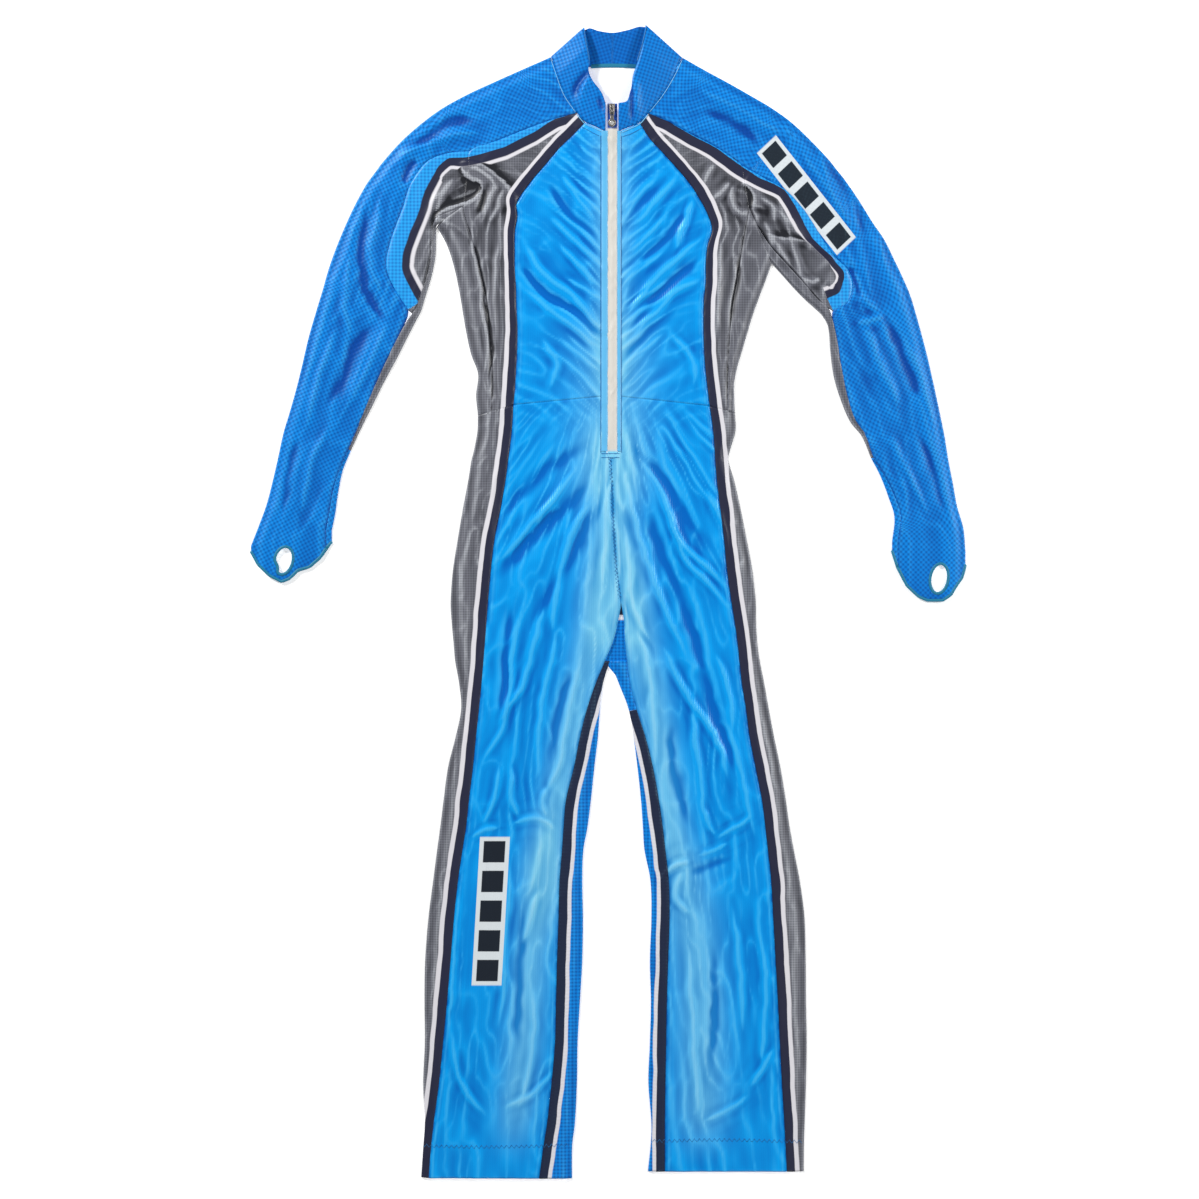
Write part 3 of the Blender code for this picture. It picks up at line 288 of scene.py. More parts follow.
# Folds of the upper cloth: rise in mm (a trough is negative), half width, then the points it runs through.
folds = [
    # chest and waist
    (2.6, 9, 519, 238, 540, 268, 572, 296, 604, 330),
    (-1.8, 6, 520, 262, 546, 294, 590, 322),
    (2.0, 7, 524, 288, 560, 318, 602, 345),
    (1.8, 6, 560, 172, 576, 196, 598, 222),
    (-1.2, 5, 545, 182, 568, 214, 600, 240),
    (1.6, 6, 548, 216, 574, 240, 602, 262),
    (1.3, 5, 556, 240, 580, 268, 604, 290),
    (2.4, 9, 708, 236, 682, 256, 652, 284, 622, 322),
    (-1.8, 6, 704, 256, 672, 284, 640, 312),
    (2.0, 7, 706, 274, 668, 300, 630, 342),
    (1.8, 6, 680, 172, 660, 198, 626, 228),
    (-1.4, 6, 694, 205, 672, 232, 640, 262),
    (1.5, 6, 664, 214, 646, 236, 622, 256),
    (2.4, 6, 693, 196, 684, 226, 676, 252),
    (1.4, 7, 540, 336, 556, 362, 548, 392),
    (1.2, 6, 668, 330, 690, 356, 694, 388),
    # waist down over the hips
    (2.8, 8, 578, 462, 546, 508, 500, 562),
    (-1.8, 13, 592, 440, 562, 458, 526, 490, 500, 522),
    (-2.0, 14, 594, 478, 562, 508, 522, 548, 488, 584),
    (2.2, 7, 596, 495, 570, 536, 556, 590, 552, 640),
    (1.8, 5, 616, 468, 606, 500, 605, 545, 600, 600),
    (-1.4, 11, 604, 500, 580, 540, 556, 580, 532, 630),
    (2.2, 6, 620, 458, 630, 491, 643, 549, 662, 600, 690, 668),
    (2.2, 6, 632, 446, 656, 482, 668, 512, 688, 560, 735, 612),
    (-1.8, 12, 630, 440, 652, 470, 684, 512, 718, 562),
    (2.6, 7, 664, 497, 670, 526, 704, 565, 728, 590),
    (1.8, 6, 704, 486, 724, 530, 728, 560),
    (-1.4, 11, 640, 500, 660, 550, 690, 620, 714, 676),
    (1.8, 6, 622, 512, 628, 560, 634, 605, 654, 650),
    (1.6, 7, 500, 440, 494, 500, 486, 560),
    # thighs
    (2.4, 7, 548, 590, 536, 640, 520, 690, 492, 730),
    (2.0, 6, 560, 620, 546, 680, 540, 740, 536, 790),
    (-2.0, 7, 512, 600, 506, 660, 500, 720),
    (1.8, 6, 524, 610, 512, 660, 504, 720, 478, 770),
    (1.8, 6, 584, 640, 570, 700, 560, 760, 536, 810),
    (-1.8, 7, 572, 660, 556, 730, 548, 780),
    (1.6, 5, 486, 610, 482, 660, 480, 700),
    (1.8, 6, 634, 620, 646, 660, 652, 700, 656, 770),
    (2.4, 6, 660, 640, 690, 700, 716, 740, 732, 790),
    (-2.0, 10, 676, 590, 700, 660, 714, 714, 744, 790),
    (1.8, 5, 716, 650, 728, 690, 732, 735),
    (2.0, 6, 690, 700, 698, 760, 706, 820, 712, 845),
    (-1.8, 7, 668, 720, 676, 780, 690, 830),
    (1.6, 6, 724, 716, 738, 762, 756, 842),
    # knees
    (1.6, 4, 470, 838, 484, 830, 500, 828),
    (1.4, 5, 508, 826, 532, 820, 548, 824, 558, 832),
    (1.8, 5, 498, 760, 494, 800, 482, 826),
    (2.0, 6, 512, 762, 512, 800, 520, 822),
    (1.8, 6, 545, 786, 542, 806, 548, 820),
    (1.8, 4, 662, 892, 664, 876, 676, 866, 692, 862),
    (1.2, 4, 696, 857, 712, 852, 730, 842),
    (1.5, 4, 716, 838, 730, 830, 744, 822, 752, 812),
    (-0.8, 6, 684, 874, 706, 868, 734, 858),
    (1.2, 4, 706, 806, 710, 826, 716, 838),
    (1.6, 6, 680, 870, 678, 896, 694, 916),
    # shins and hems
    (2.2, 6, 512, 856, 508, 900, 504, 960, 500, 1036),
    (1.8, 7, 540, 888, 530, 920, 520, 950),
    (-1.6, 7, 524, 900, 520, 980, 516, 1060),
    (1.6, 6, 458, 880, 452, 960, 446, 1040),
    (1.8, 6, 534, 980, 530, 1050, 516, 1120),
    (1.4, 6, 452, 1030, 462, 1080, 486, 1120),
    (1.2, 6, 500, 1110, 530, 1096, 556, 1066),
    (2.0, 6, 686, 930, 690, 990, 694, 1060, 700, 1130),
    (-1.8, 7, 712, 940, 714, 1000, 712, 1080),
    (2.0, 6, 730, 900, 740, 960, 742, 1040),
    (1.6, 6, 762, 940, 764, 1010, 762, 1080),
    (1.6, 6, 776, 1046, 760, 1072, 748, 1090),
    (1.2, 5, 748, 1096, 728, 1112, 704, 1124),
    # sides
    (2.2, 4, 470, 214, 474, 250, 482, 300, 487, 380),
    (-2.0, 4, 474, 224, 480, 280, 489, 330, 491, 402),
    (1.8, 6, 498, 230, 494, 290, 497, 350),
    (-2.0, 4, 741, 250, 735, 292, 730, 335),
    (2.0, 6, 722, 236, 720, 290, 714, 350),
    (1.6, 6, 470, 470, 462, 530, 460, 600),
    (1.6, 5, 742, 500, 750, 560, 752, 620),
    # armpits
    (2.0, 7, 454, 176, 440, 196, 434, 214),
    (1.8, 5, 731, 182, 722, 191, 711, 199),
    (2.2, 5, 732, 184, 731, 198, 736, 210, 744, 213, 750, 207),
    (2.4, 10, 768, 200, 790, 222, 812, 244),
    (2.6, 10, 806, 240, 822, 250, 836, 258),
    (1.6, 6, 762, 216, 776, 246, 792, 268),
    # shoulders and sleeves
    (-3.2, 9, 400, 152, 425, 138, 445, 124, 480, 119),
    (2.4, 10, 392, 166, 420, 146, 452, 136, 486, 134),
    (-2.6, 6, 420, 157, 408, 170, 402, 187),
    (2.2, 9, 380, 190, 376, 230, 372, 268, 388, 310),
    (-2.4, 8, 366, 200, 362, 250, 366, 292, 390, 326),
    (2.0, 8, 352, 240, 346, 290, 352, 340),
    (2.2, 9, 392, 316, 372, 360, 344, 410),
    (-2.2, 9, 372, 316, 350, 362, 326, 412),
    (2.0, 8, 340, 320, 322, 372, 306, 430),
    (1.8, 7, 330, 420, 312, 460, 300, 520),
    (-1.6, 7, 300, 430, 290, 470, 282, 520),
    (2.0, 10, 694, 84, 740, 110, 792, 142),
    (-1.8, 8, 700, 108, 736, 124, 762, 150),
    (2.2, 9, 796, 140, 830, 190, 858, 240),
    (-2.0, 9, 822, 150, 852, 200, 872, 244),
    (2.6, 6, 853, 270, 862, 290, 878, 313),
    (-2.6, 7, 846, 262, 856, 282, 866, 300),
    (2.0, 6, 855, 325, 870, 322, 885, 316),
    (2.2, 9, 858, 316, 878, 362, 904, 410),
    (-2.2, 9, 884, 312, 904, 360, 926, 410),
    (2.0, 8, 904, 330, 920, 380, 936, 430),
    (1.8, 7, 888, 430, 908, 470, 930, 520),
    (-1.6, 7, 918, 430, 936, 474, 950, 520),
    # armpits
    (2.4, 6, 462, 166, 478, 168, 490, 176, 495, 188, 488, 206, 482, 220),
    (1.6, 4, 505, 186, 498, 206, 490, 222),
    (-2.0, 5, 484, 180, 484, 200, 476, 216),
    (1.4, 4, 441, 186, 430, 205, 424, 226),
    (1.4, 5, 704, 184, 708, 170, 714, 164),
    (1.4, 5, 758, 196, 772, 206, 776, 222),
    (1.6, 5, 800, 276, 812, 280, 820, 276),
    # below the collar
    (2.6, 6, 577, 84, 578, 100, 583, 118),
    (1.6, 5, 656, 90, 648, 106, 642, 120),
]
ripples = {"first": 152, "last": 384, "gap": 12.5, "rise": 0.9, "width": 4.6, "seed": 7}
neckLift = {"u": 612, "v": 119, "rise": 4.6, "width": 46}

# Pale glow of the print down the middle: strength, half width, then the points it runs through.
glows = [
    (0.8, 24, 612, 90, 612, 200, 612, 430),
    (0.55, 52, 612, 300, 612, 400, 612, 520),
    (0.9, 34, 611, 400, 612, 470, 615, 600, 616, 680),
    (0.75, 24, 606, 520, 592, 640, 572, 730, 552, 830, 540, 960),
    (0.65, 26, 548, 800, 532, 950, 522, 1060, 510, 1170),
    (0.75, 24, 622, 520, 640, 640, 652, 700, 668, 800, 680, 900),
    (0.65, 34, 672, 820, 694, 940, 702, 1050, 700, 1170),
]


# A smooth path through the points: cubic pieces whose slope at each point is (next - before) / (path between).
def smoothPath(points, gap):
    p = np.reshape(points, (-1, 2)).astype(float)
    return denseRows(p, gap)[:, 0]


# Every curve through the sections is made dense: h1 P + h2 m + h3 Q + h4 n with the cubic Hermite weights.
def denseRows(rows, gap):
    p = np.asarray(rows, float)
    p = p.reshape(len(p), -1, 2)
    span = np.maximum(np.sqrt((np.diff(p, axis=0) ** 2).sum(-1)), 1e-6)[..., None]
    slope = np.empty_like(p)
    slope[1:-1] = (p[2:] - p[:-2]) / (span[1:] + span[:-1])
    slope[0] = (p[1] - p[0]) / span[0]
    slope[-1] = (p[-1] - p[-2]) / span[-1]
    mean = span[..., 0].mean(1)
    place = np.concatenate(([0], np.cumsum(mean)))
    x = np.linspace(0, place[-1], max(2, int(round(place[-1] / gap))) + 1)
    k = np.clip(np.searchsorted(place, x, side="right") - 1, 0, len(mean) - 1)
    s = ((x - place[k]) / mean[k])[:, None, None]
    near, far = p[k], p[k + 1]
    m, n = slope[k] * span[k], slope[k + 1] * span[k]
    return ((2 * s**3 - 3 * s**2 + 1) * near + (s**3 - 2 * s**2 + s) * m
            + (3 * s**2 - 2 * s**3) * far + (s**3 - s**2) * n)


def ease(x):
    x = np.clip(x, 0, 1)
    return x * x * (3 - 2 * x)


# Value noise: random heights on a whole-number lattice, joined by 3t^2 - 2t^3.
def softNoise(x, y, seed):
    table = np.random.default_rng(seed).uniform(-1, 1, (64, 64))
    i, j = np.floor(x).astype(int), np.floor(y).astype(int)
    s, t = ease(x - i), ease(y - j)
    low = table[i % 64, j % 64] * (1 - s) + table[(i + 1) % 64, j % 64] * s
    high = table[i % 64, (j + 1) % 64] * (1 - s) + table[(i + 1) % 64, (j + 1) % 64] * s
    return low * (1 - t) + high * t


# Signed offset from a path and the share of the way along it, for the points near enough to matter.
def offsetFrom(path, u, v, reach):
    low, high = path.min(0) - reach, path.max(0) + reach
    near = (u > low[0]) & (u < high[0]) & (v > low[1]) & (v < high[1])
    pu, pv = u[near], v[near]
    k = ((pu[:, None] - path[:, 0]) ** 2 + (pv[:, None] - path[:, 1]) ** 2).argmin(1)
    way = np.gradient(path, axis=0)
    size = np.hypot(way[:, 0], way[:, 1])
    du, dv = pu - path[k, 0], pv - path[k, 1]
    wu, wv = way[k, 0] / size[k], way[k, 1] / size[k]
    off = du * wv - dv * wu
    along = (k + (du * wu + dv * wv) / size[k]) / (len(path) - 1)
    return near, off, along


# Sum over the rows of strength x profile x a taper at both ends. With x = offset / width the soft profile
# is e^(-2.2 x^2). A pinched one is half that and half e^(-4 (sqrt(x^2 + 0.02) - 0.14)), and it narrows to
# 0.55 of its width at the ends.
def sumAlong(u, v, rows, taper, pinched=False):
    total = np.zeros(u.shape)
    for strength, width, *points in rows:
        path = smoothPath(points, 2.0)
        near, off, along = offsetFrom(path, u, v, 2.2 * width)
        x = off / width
        if pinched:
            x = x / (0.55 + 1.8 * np.clip(along * (1 - along), 0, 0.25))
        if pinched and strength > 0:
            sharp = np.exp(-4 * (np.sqrt(x**2 + 0.02) - 0.14)) * (1 - ease(np.abs(x) - 1))
            shape = 0.5 * sharp + 0.5 * np.exp(-2.2 * x**2)
        else:
            shape = np.exp(-2.2 * x**2)
        total[near] += strength * shape * ease(along / taper) * ease((1 - along) / taper)
    return total


# Laps: cloth on the path's left lies over the cloth on its right, by rise x e^(-offset / fade).
laps = [
    (2.2, 9, 519, 208, 514, 193, 505, 181, 493, 171, 481, 163, 468, 160, 457, 163),
    (3.0, 12, 459, 164, 464, 175, 473, 181, 480, 184, 480, 191, 471, 199, 457, 204, 444, 209, 436, 217, 433, 228),
    (3.0, 8, 741, 183, 749, 189, 753, 197, 752, 209),
    (1.8, 12, 838, 262, 826, 250, 812, 242, 796, 238, 778, 236, 764, 232),
]


# Shade under each lap: e^(-distance / 4) on the low side of its edge.
def lapShade(u, v):
    total = np.zeros(u.shape)
    for rise, fade, *points in laps:
        near, off, along = offsetFrom(smoothPath(points, 1.5), u, v, 24)
        ends = ease(along / 0.2) * ease((1 - along) / 0.2)
        total[near] += ends * ease((1.5 - off) / 2) * np.exp(-np.abs(off) / 4) * rise / 3
    return total


def lapped(u, v):
    total = np.zeros(u.shape)
    for rise, fade, *points in laps:
        near, off, along = offsetFrom(smoothPath(points, 1.5), u, v, 4 * fade)
        ends = ease(along / 0.12) * ease((1 - along) / 0.12)
        total[near] += rise * ends * ease((off + 1.2) / 2.4) * np.exp(-np.maximum(off, 0) / fade)
    return total


# Short ripples that run from the zip up and outwards on both sides, a little uneven.
def zipRipples():
    rng = np.random.default_rng(ripples["seed"])
    rows = []
    for side in (-1, 1):
        for v in np.arange(ripples["first"], ripples["last"], ripples["gap"]):
            v = v + rng.uniform(-4, 4)
            reach = rng.uniform(26, 52)
            rise = ripples["rise"] * rng.uniform(0.4, 1.5)
            lean = rng.uniform(0.45, 0.75)
            foot = 612 + side * 8
            rows.append((rise, ripples["width"] * rng.uniform(0.7, 1.2), foot, v,
                         foot + side * reach * 0.4, v - reach * 0.4 * lean - 3, foot + side * reach, v - reach * lean - 8))
    return rows


allFolds = folds + zipRipples()


# Thin creases: 1 - |noise| raised to a power, so that it peaks in a line where the noise passes zero.
def creaseNoise(x, y, seed, power=3.0):
    return (1 - np.abs(softNoise(x, y, seed))) ** power


# Small creases follow the pull of the cloth: chevrons on the zip down to the waist, a fan from the zip's
# end over the hips, and lines along the legs and sleeves. Each is crease noise stretched along its lines.
crumple = {"chest": 0.8, "hips": 1.0, "legs": 0.9, "sleeves": 0.8, "sides": 0.9, "middleL": 520, "middleR": 715, "fanV": 330}


seamLine = {
    "Right": np.array([(r[0], r[1]) for r in bodyR[5:]] + [(r[3], r[4]) for r in legR[1:]]),
    "Left": np.array([(r[0], r[1]) for r in bodyL[5:]] + [(r[3], r[4]) for r in legL[1:]]),
}


def crumpled(u, v):
    off = np.abs(u - 612)
    level = v + 1.35 * off - 0.006 * off**2
    fade = 1 - 0.55 * ease((off - 35) / 50)
    chest = (creaseNoise(level / 15, off / 45 + (u > 612) * 9.3, 31) + 0.5 * creaseNoise(level / 8, off / 26, 32)) * fade
    angle = np.arctan2(u - 612, v - crumple["fanV"])
    far = np.hypot(u - 612, v - crumple["fanV"])
    hips = creaseNoise(angle * 15, far / 75, 33) + 0.5 * creaseNoise(angle * 29, far / 40, 34)
    centre = np.where(u < 612, crumple["middleL"] - (v - 800) * 0.09, crumple["middleR"] + (v - 900) * 0.07)
    legs = (creaseNoise((u - centre) / 17, v / 85, 35) + 0.5 * creaseNoise((u - centre) / 8, v / 46, 36))
    arm = np.where(u < 612, u + (v - 300) * 0.33, u - (v - 300) * 0.25)
    sleeves = creaseNoise(arm / 17, v / 80, 37) + 0.5 * creaseNoise(arm / 9, v / 42, 38)
    toHips, toLegs = ease((v - 385) / 60), ease((v - 640) / 90)
    body = chest * crumple["chest"] * (1 - toHips) + hips * crumple["hips"] * toHips * (1 - toLegs)
    body = body + legs * crumple["legs"] * toLegs
    outside = np.where(u < 612, np.interp(v, seamLine["Right"][:, 1], seamLine["Right"][:, 0]) - u,
                       u - np.interp(v, seamLine["Left"][:, 1], seamLine["Left"][:, 0]))
    sides = 0.7 * creaseNoise(outside / 11, v / 62, 39) + 0.5 * creaseNoise(outside / 7, v / 34, 40)
    toSides = ease((outside + 4) / 8) * ease((v - 190) / 30)
    body = body * (1 - toSides) + sides * crumple["sides"] * toSides
    onArm = np.where(u < 612, ease((452 - u) / 16), ease((768 - u) / -16)) * ease((600 - v) / 30)
    return body * (1 - onArm) + sleeves * crumple["sleeves"] * onArm - 0.5


# Height of the upper cloth in mm: rest + folds on a gently warped plan + small creases + the neck's lift.
def clothHeight(u, v):
    wu = u + 2.0 * softNoise(u / 23, v / 31, 1) + 0.9 * softNoise(u / 9, v / 13, 2)
    wv = v + 2.0 * softNoise(u / 27, v / 25, 3)
    lift = np.clip(1 - ((u - neckLift["u"]) ** 2 + (v - neckLift["v"]) ** 2) / neckLift["width"] ** 2, 0, 1)
    height = plan["rest"] + neckLift["rise"] * lift**2 + sumAlong(wu, wv, allFolds, 0.3, True)
    height += crumpled(wu, wv) + lapped(u, v) + 0.35 * softNoise(u / 17, v / 29, 4)
    low = plan["least"]
    return np.where(height < low + 1, low + np.exp(np.minimum(height - low - 1, 0)), height)


# x = (u - midU) step, y = (midV - v) step, z = height / 1000.
def toWorld(u, v, height):
    u, v, height = np.broadcast_arrays(u, v, height)
    return np.stack([(u - plan["midU"]) * plan["step"], (plan["midV"] - v) * plan["step"], height * 0.001], -1)


def unit(a):
    return a / np.maximum(np.sqrt((a**2).sum(-1, keepdims=True)), 1e-9)


# Points a + (b - a) t for every row and every share t.
def between(a, b, t):
    return a[:, None, :] + (b - a)[:, None, :] * np.asarray(t)[None, :, None]


# A mesh from one or more grids of points with their weave places and fields, put in as whole arrays.
def clothObject(name, *grids):
    points, weave, quads, fields, start = [], [], [], {}, 0
    for grid in grids:
        rows, columns = grid["points"].shape[:2]
        index = start + np.arange(rows * columns).reshape(rows, columns)
        corners = [index[:-1, :-1], index[:-1, 1:], index[1:, 1:], index[1:, :-1]]
        cells = np.stack(corners[::-1] if grid["flip"] else corners, -1).reshape(-1, 4)
        quads.append(cells[grid["keep"].ravel()] if "keep" in grid else cells)
        points.append(grid["points"].reshape(-1, 3))
        weave.append(grid["weave"].reshape(-1, 2))
        for key, value in grid["fields"].items():
            fields.setdefault(key, []).append(value.reshape(rows * columns, -1))
        start += rows * columns
    points, quads, weave = np.concatenate(points), np.concatenate(quads), np.concatenate(weave)
    mesh = bpy.data.meshes.new(name)
    mesh.vertices.add(len(points))
    mesh.vertices.foreach_set("co", points.astype(np.float32).ravel())
    mesh.loops.add(quads.size)
    mesh.loops.foreach_set("vertex_index", quads.astype(np.int32).ravel())
    mesh.polygons.add(len(quads))
    mesh.polygons.foreach_set("loop_start", np.arange(0, quads.size, 4, dtype=np.int32))
    mesh.polygons.foreach_set("use_smooth", np.ones(len(quads), bool))
    mesh.update(calc_edges=True)
    mesh.uv_layers.new(name="weave").data.foreach_set("uv", weave[quads.ravel()].astype(np.float32).ravel())
    for key, value in fields.items():
        value = np.concatenate(value)
        kind, slot = ("FLOAT", "value") if value.shape[1] == 1 else ("FLOAT_VECTOR", "vector")
        mesh.attributes.new(key, kind, "POINT").data.foreach_set(slot, value.astype(np.float32).ravel())
    piece = bpy.data.objects.new(name, mesh)
    bpy.context.collection.objects.link(piece)
    return piece


tops = []     # every upper point made so far, for what lies on the cloth


# Every grid holds plan places u, v and a height; its faces are flipped where its first cell would face down.
def clothGrid(u, v, height, weave=None, faceUp=True, **fields):
    points = toWorld(u, v, height)
    middle = points.shape[0] // 2
    one, two = points[middle, 0] - points[middle - 1, 0], points[middle, 1] - points[middle, 0]
    upwards = np.cross(two, one)[2] > 0
    if weave is None:
        weave = np.stack([u, v], -1) * plan["step"]
    glow = sumAlong(u, v, glows, 0.2)
    height = np.broadcast_to(height, u.shape)
    if faceUp:
        tops.append(np.stack([u, v, height], -1).reshape(-1, 3))
    # Painted shade and painted highlight: the shade field darkens the hollows between folds and the low side of each
    # lap, and the highlight field lightens the crests.
    deep = 0.75 * hollow(height, 4, 1.0) + 0.45 * hollow(height, 10, 1.6) + faceUp * lapShade(u, v)
    data = {"glow": np.clip(glow, 0, 1), "deep": deep, "crest": -hollow(height, 2, 0.42)}
    data.update(fields)
    return {"points": points, "weave": weave, "fields": data, "flip": upwards != faceUp}


# Height against the mean of the neighbours so many lines away: above 0 in a hollow, below 0 on a crest.
def hollow(height, lines, depth):
    padded = np.pad(height, lines, mode="reflect" if min(height.shape) > lines * 2 else "edge")
    ahead, inner = slice(2 * lines, None), slice(lines, -lines)
    around = padded[:-2 * lines, inner] + padded[ahead, inner] + padded[inner, :-2 * lines] + padded[inner, ahead]
    return np.clip((around / 4 - height) / depth, -1, 1)


# A seam draws the cloth down a little: depth x e^-(distance / width)^2, with uneven puckers along it.
def seamDip(distance, u, v, depth=0.8, width=1.5):
    pucker = 1 + 0.5 * softNoise(u / 4, v / 4, 9)
    return depth * pucker * np.exp(-((distance / width) ** 2))


# A panel of upper cloth from one seam to the other: a + (b - a) t, with both distances kept for the print.
def flatPanel(a, b, gap=None, dips=(1, 1)):
    width = np.sqrt(((b - a) ** 2).sum(-1))
    count = max(2, int(math.ceil(width.max() / (gap or plan["grid"]))))
    t = np.linspace(0, 1, count + 1)
    p = between(a, b, t)
    u, v = p[..., 0], p[..., 1]
    fromA, fromB = t * width[:, None], (1 - t) * width[:, None]
    one, two = (np.broadcast_to(np.reshape(d, (-1, 1)), (len(a), 1)) for d in dips)
    height = clothHeight(u, v) - seamDip(fromA, u, v) * one - seamDip(fromB, u, v) * two
    return u, v, height, fromA, fromB


# Cloth from a seam on top over the folded edge to a seam underneath: the top sinks towards the edge,
# the fold is a half circle of the height there, and the underside lies on the floor.
def foldedPanel(seam, edge, back, underGap=6.0, sink=0.45):
    seam = seam + unit(seam - edge) * plan["lap"]
    inset = edge + unit(seam - edge) * plan["reach"]
    width = np.sqrt(((inset - seam) ** 2).sum(-1))
    count = max(2, int(math.ceil(width.max() / plan["grid"])))
    t = np.linspace(0, 1, count + 1)
    top = between(seam, inset, t)
    u, v = top[..., 0], top[..., 1]
    toEdge, fromSeam = (1 - t) * width[:, None], t * width[:, None]
    near = np.minimum(9.0, np.maximum(width, 1.0))[:, None]
    height = clothHeight(u, v) - seamDip(fromSeam, u, v)
    height = height * (1 - sink * ease(1 - toEdge / near))
    height[:, 0] -= 0.3
    turns = np.pi * np.arange(1, 8) / 8
    out = unit(edge - inset) * plan["reach"]
    fold = inset[:, None, :] + out[:, None, :] * np.sin(turns)[None, :, None]
    last = height[:, -1:]
    foldHeight = last / 2 * (1 + np.cos(turns))
    underWidth = np.sqrt(((back - inset) ** 2).sum(-1))
    underCount = max(2, int(math.ceil(underWidth.max() / underGap)))
    under = between(inset, back, np.linspace(0, 1, underCount + 1))
    u = np.concatenate([u, fold[..., 0], under[..., 0]], 1)
    v = np.concatenate([v, fold[..., 1], under[..., 1]], 1)
    height = np.concatenate([height, foldHeight, np.zeros(under.shape[:2])], 1)
    step = np.sqrt(np.diff(u, axis=1) ** 2 + np.diff(v, axis=1) ** 2 + np.diff(height * 0.8, axis=1) ** 2)
    fromSeam = np.concatenate([np.zeros((len(u), 1)), np.cumsum(step, 1)], 1)
    return u, v, height, fromSeam


def rowsOf(table, *columns):
    table = np.asarray(table, float)
    return np.concatenate([table[:, c:c + 2] for c in columns], 1)


def pairs(dense):
    return [dense[:, k] for k in range(dense.shape[1])]


sides = {
    "Right": {"mark": "r", "zip": 606.3, "body": bodyR, "back": backR, "sleeve": sleeveR, "leg": legR,
              "cuffEnd": cuffEndR, "hole": (283.3, 560.5, 9.6, 14.0, 0.15, 0.42), "inseamFrom": 600,
              "whiteGone": (3.65, 4.5), "inseamWhiteFrom": 686},
    "Left": {"mark": "l", "zip": 617.7, "body": bodyL, "back": backL, "sleeve": sleeveL, "leg": legL,
             "cuffEnd": cuffEndL, "hole": (939.5, 578.5, 9.2, 15.0, 0.1, 0.0), "inseamFrom": 700,
             "whiteGone": (9.1, 10.2), "inseamWhiteFrom": 704},
}
# Widths of the printed bands in plan units, one value a section from the neck down.
bands = {
    "torsoNavy": [9, 9, 9, 9, 9, 9, 8.5, 8, 7.6, 7.4, 7.4, 7.4, 7.6, 8, 8.3, 8.6, 8.8],
    "torsoWhite": [3.2, 3.2, 3.2, 3.2, 3.2, 3.6, 4, 4, 4.2, 4.2, 4.2, 4.2, 4.2, 4.4, 4.6, 4.8, 5],
    "marginRight": [0, 0.5, 6, 9, 6, 5, 14, 16.5, 16.5, 16.5, 16, 15.5, 16, 15, 14, 13],
    "navyRight": [8.8, 8.8, 9, 9, 9, 8.5, 8, 7.8, 7.8, 7.8, 7.8, 7.8, 7.8, 7.8, 7.8, 7.8],
    "whiteRight": [3.4, 3.4, 3.4, 3.4, 3.4, 3, 3.4, 3.4, 3.4, 3.6, 4, 4, 4, 4, 4, 4],
    "marginLeft": [0, 0, 1, 0.5, 1.5, 2, 0.5, 6, 8, 8.5, 3, 5, 10, 12, 14, 14],
    "navyLeft": [9.5, 9.5, 9.5, 10, 10, 9, 8.5, 8.5, 7.5, 6, 5.5, 7, 7.8, 7.8, 7.8, 7.8],
    "whiteLeft": [3.2, 3.2, 3.2, 3.2, 3.2, 3, 3.4, 3.4, 3.2, 0.1, 0.1, 3, 3.6, 3.6, 3.6, 3.6],
    "legNavy": 9.2, "legWhiteRight": 4.6, "legWhiteLeft": 4.4,
    "inseamNavy": 9.6, "inseamWhite": 3.9,
}
suitPieces = []


def share(values, count, dense):
    return np.interp(np.linspace(0, count - 1, dense), np.arange(count), values)


# Share of the way to each band's edge: distance / (sum of the widths up to it), three edges in one field.
def bandEdges(distance, one, two, three):
    one, two, three = (np.reshape(w, (-1, 1)) if np.ndim(w) else w for w in (one, two, three))
    first = np.maximum(one, 0.01)
    return np.stack(np.broadcast_arrays(distance / first, distance / (first + two),
                                        distance / (first + two + three)), -1)


# Bands that follow the sleeve seam over both grey panels, by the distance from the seam's path.
def sleeveBands(u, v, word, side):
    rows = side["sleeve"][:16]
    path = smoothPath([r[2:4] for r in rows], 1.5)
    near, off, along = offsetFrom(path, u.ravel(), v.ravel(), 60)
    steps = np.concatenate(([0], np.cumsum([math.dist(a[2:4], b[2:4]) for a, b in zip(rows, rows[1:])])))
    steps /= steps[-1]
    margin, navy, white = (np.interp(along, steps, bands[key + word]) for key in ("margin", "navy", "white"))
    rowPlace = np.interp(along, steps, np.arange(len(rows)))
    low, high = side["whiteGone"]
    white = white * (1 - ease((rowPlace - low + 0.1) / 0.2) * ease((high - rowPlace + 0.1) / 0.2))
    distance = np.abs(off) + 0.5 * softNoise(u.ravel()[near] / 11, v.ravel()[near] / 11, 12)
    distance[(along < 0) | (along > 1)] = 99.0
    result = np.full((u.size, 3), 9.0)
    result[near] = np.stack([distance / np.maximum(margin, 0.01), distance / (margin + navy),
                             distance / (margin + navy + white)], -1)
    return result.reshape(u.shape + (3,))


def noBands(distance):
    return np.full(distance.shape + (3,), 9.0)


# Place on a patch: share along and share across its parallelogram, from its corner and two sides.
patches = {
    "sleeve": ((757, 153), (80, 102), (19, -18)),
    "thigh": ((480, 837), (-8.5, 148.5), (30, 0)),
}


def onPatch(key, u, v):
    (cornerU, cornerV), (alongU, alongV), (acrossU, acrossV) = patches[key]
    size = alongU * acrossV - alongV * acrossU
    du, dv = u - cornerU, v - cornerV
    return np.stack([(du * acrossV - dv * acrossU) / size, (alongU * dv - alongV * du) / size, du * 0], -1)


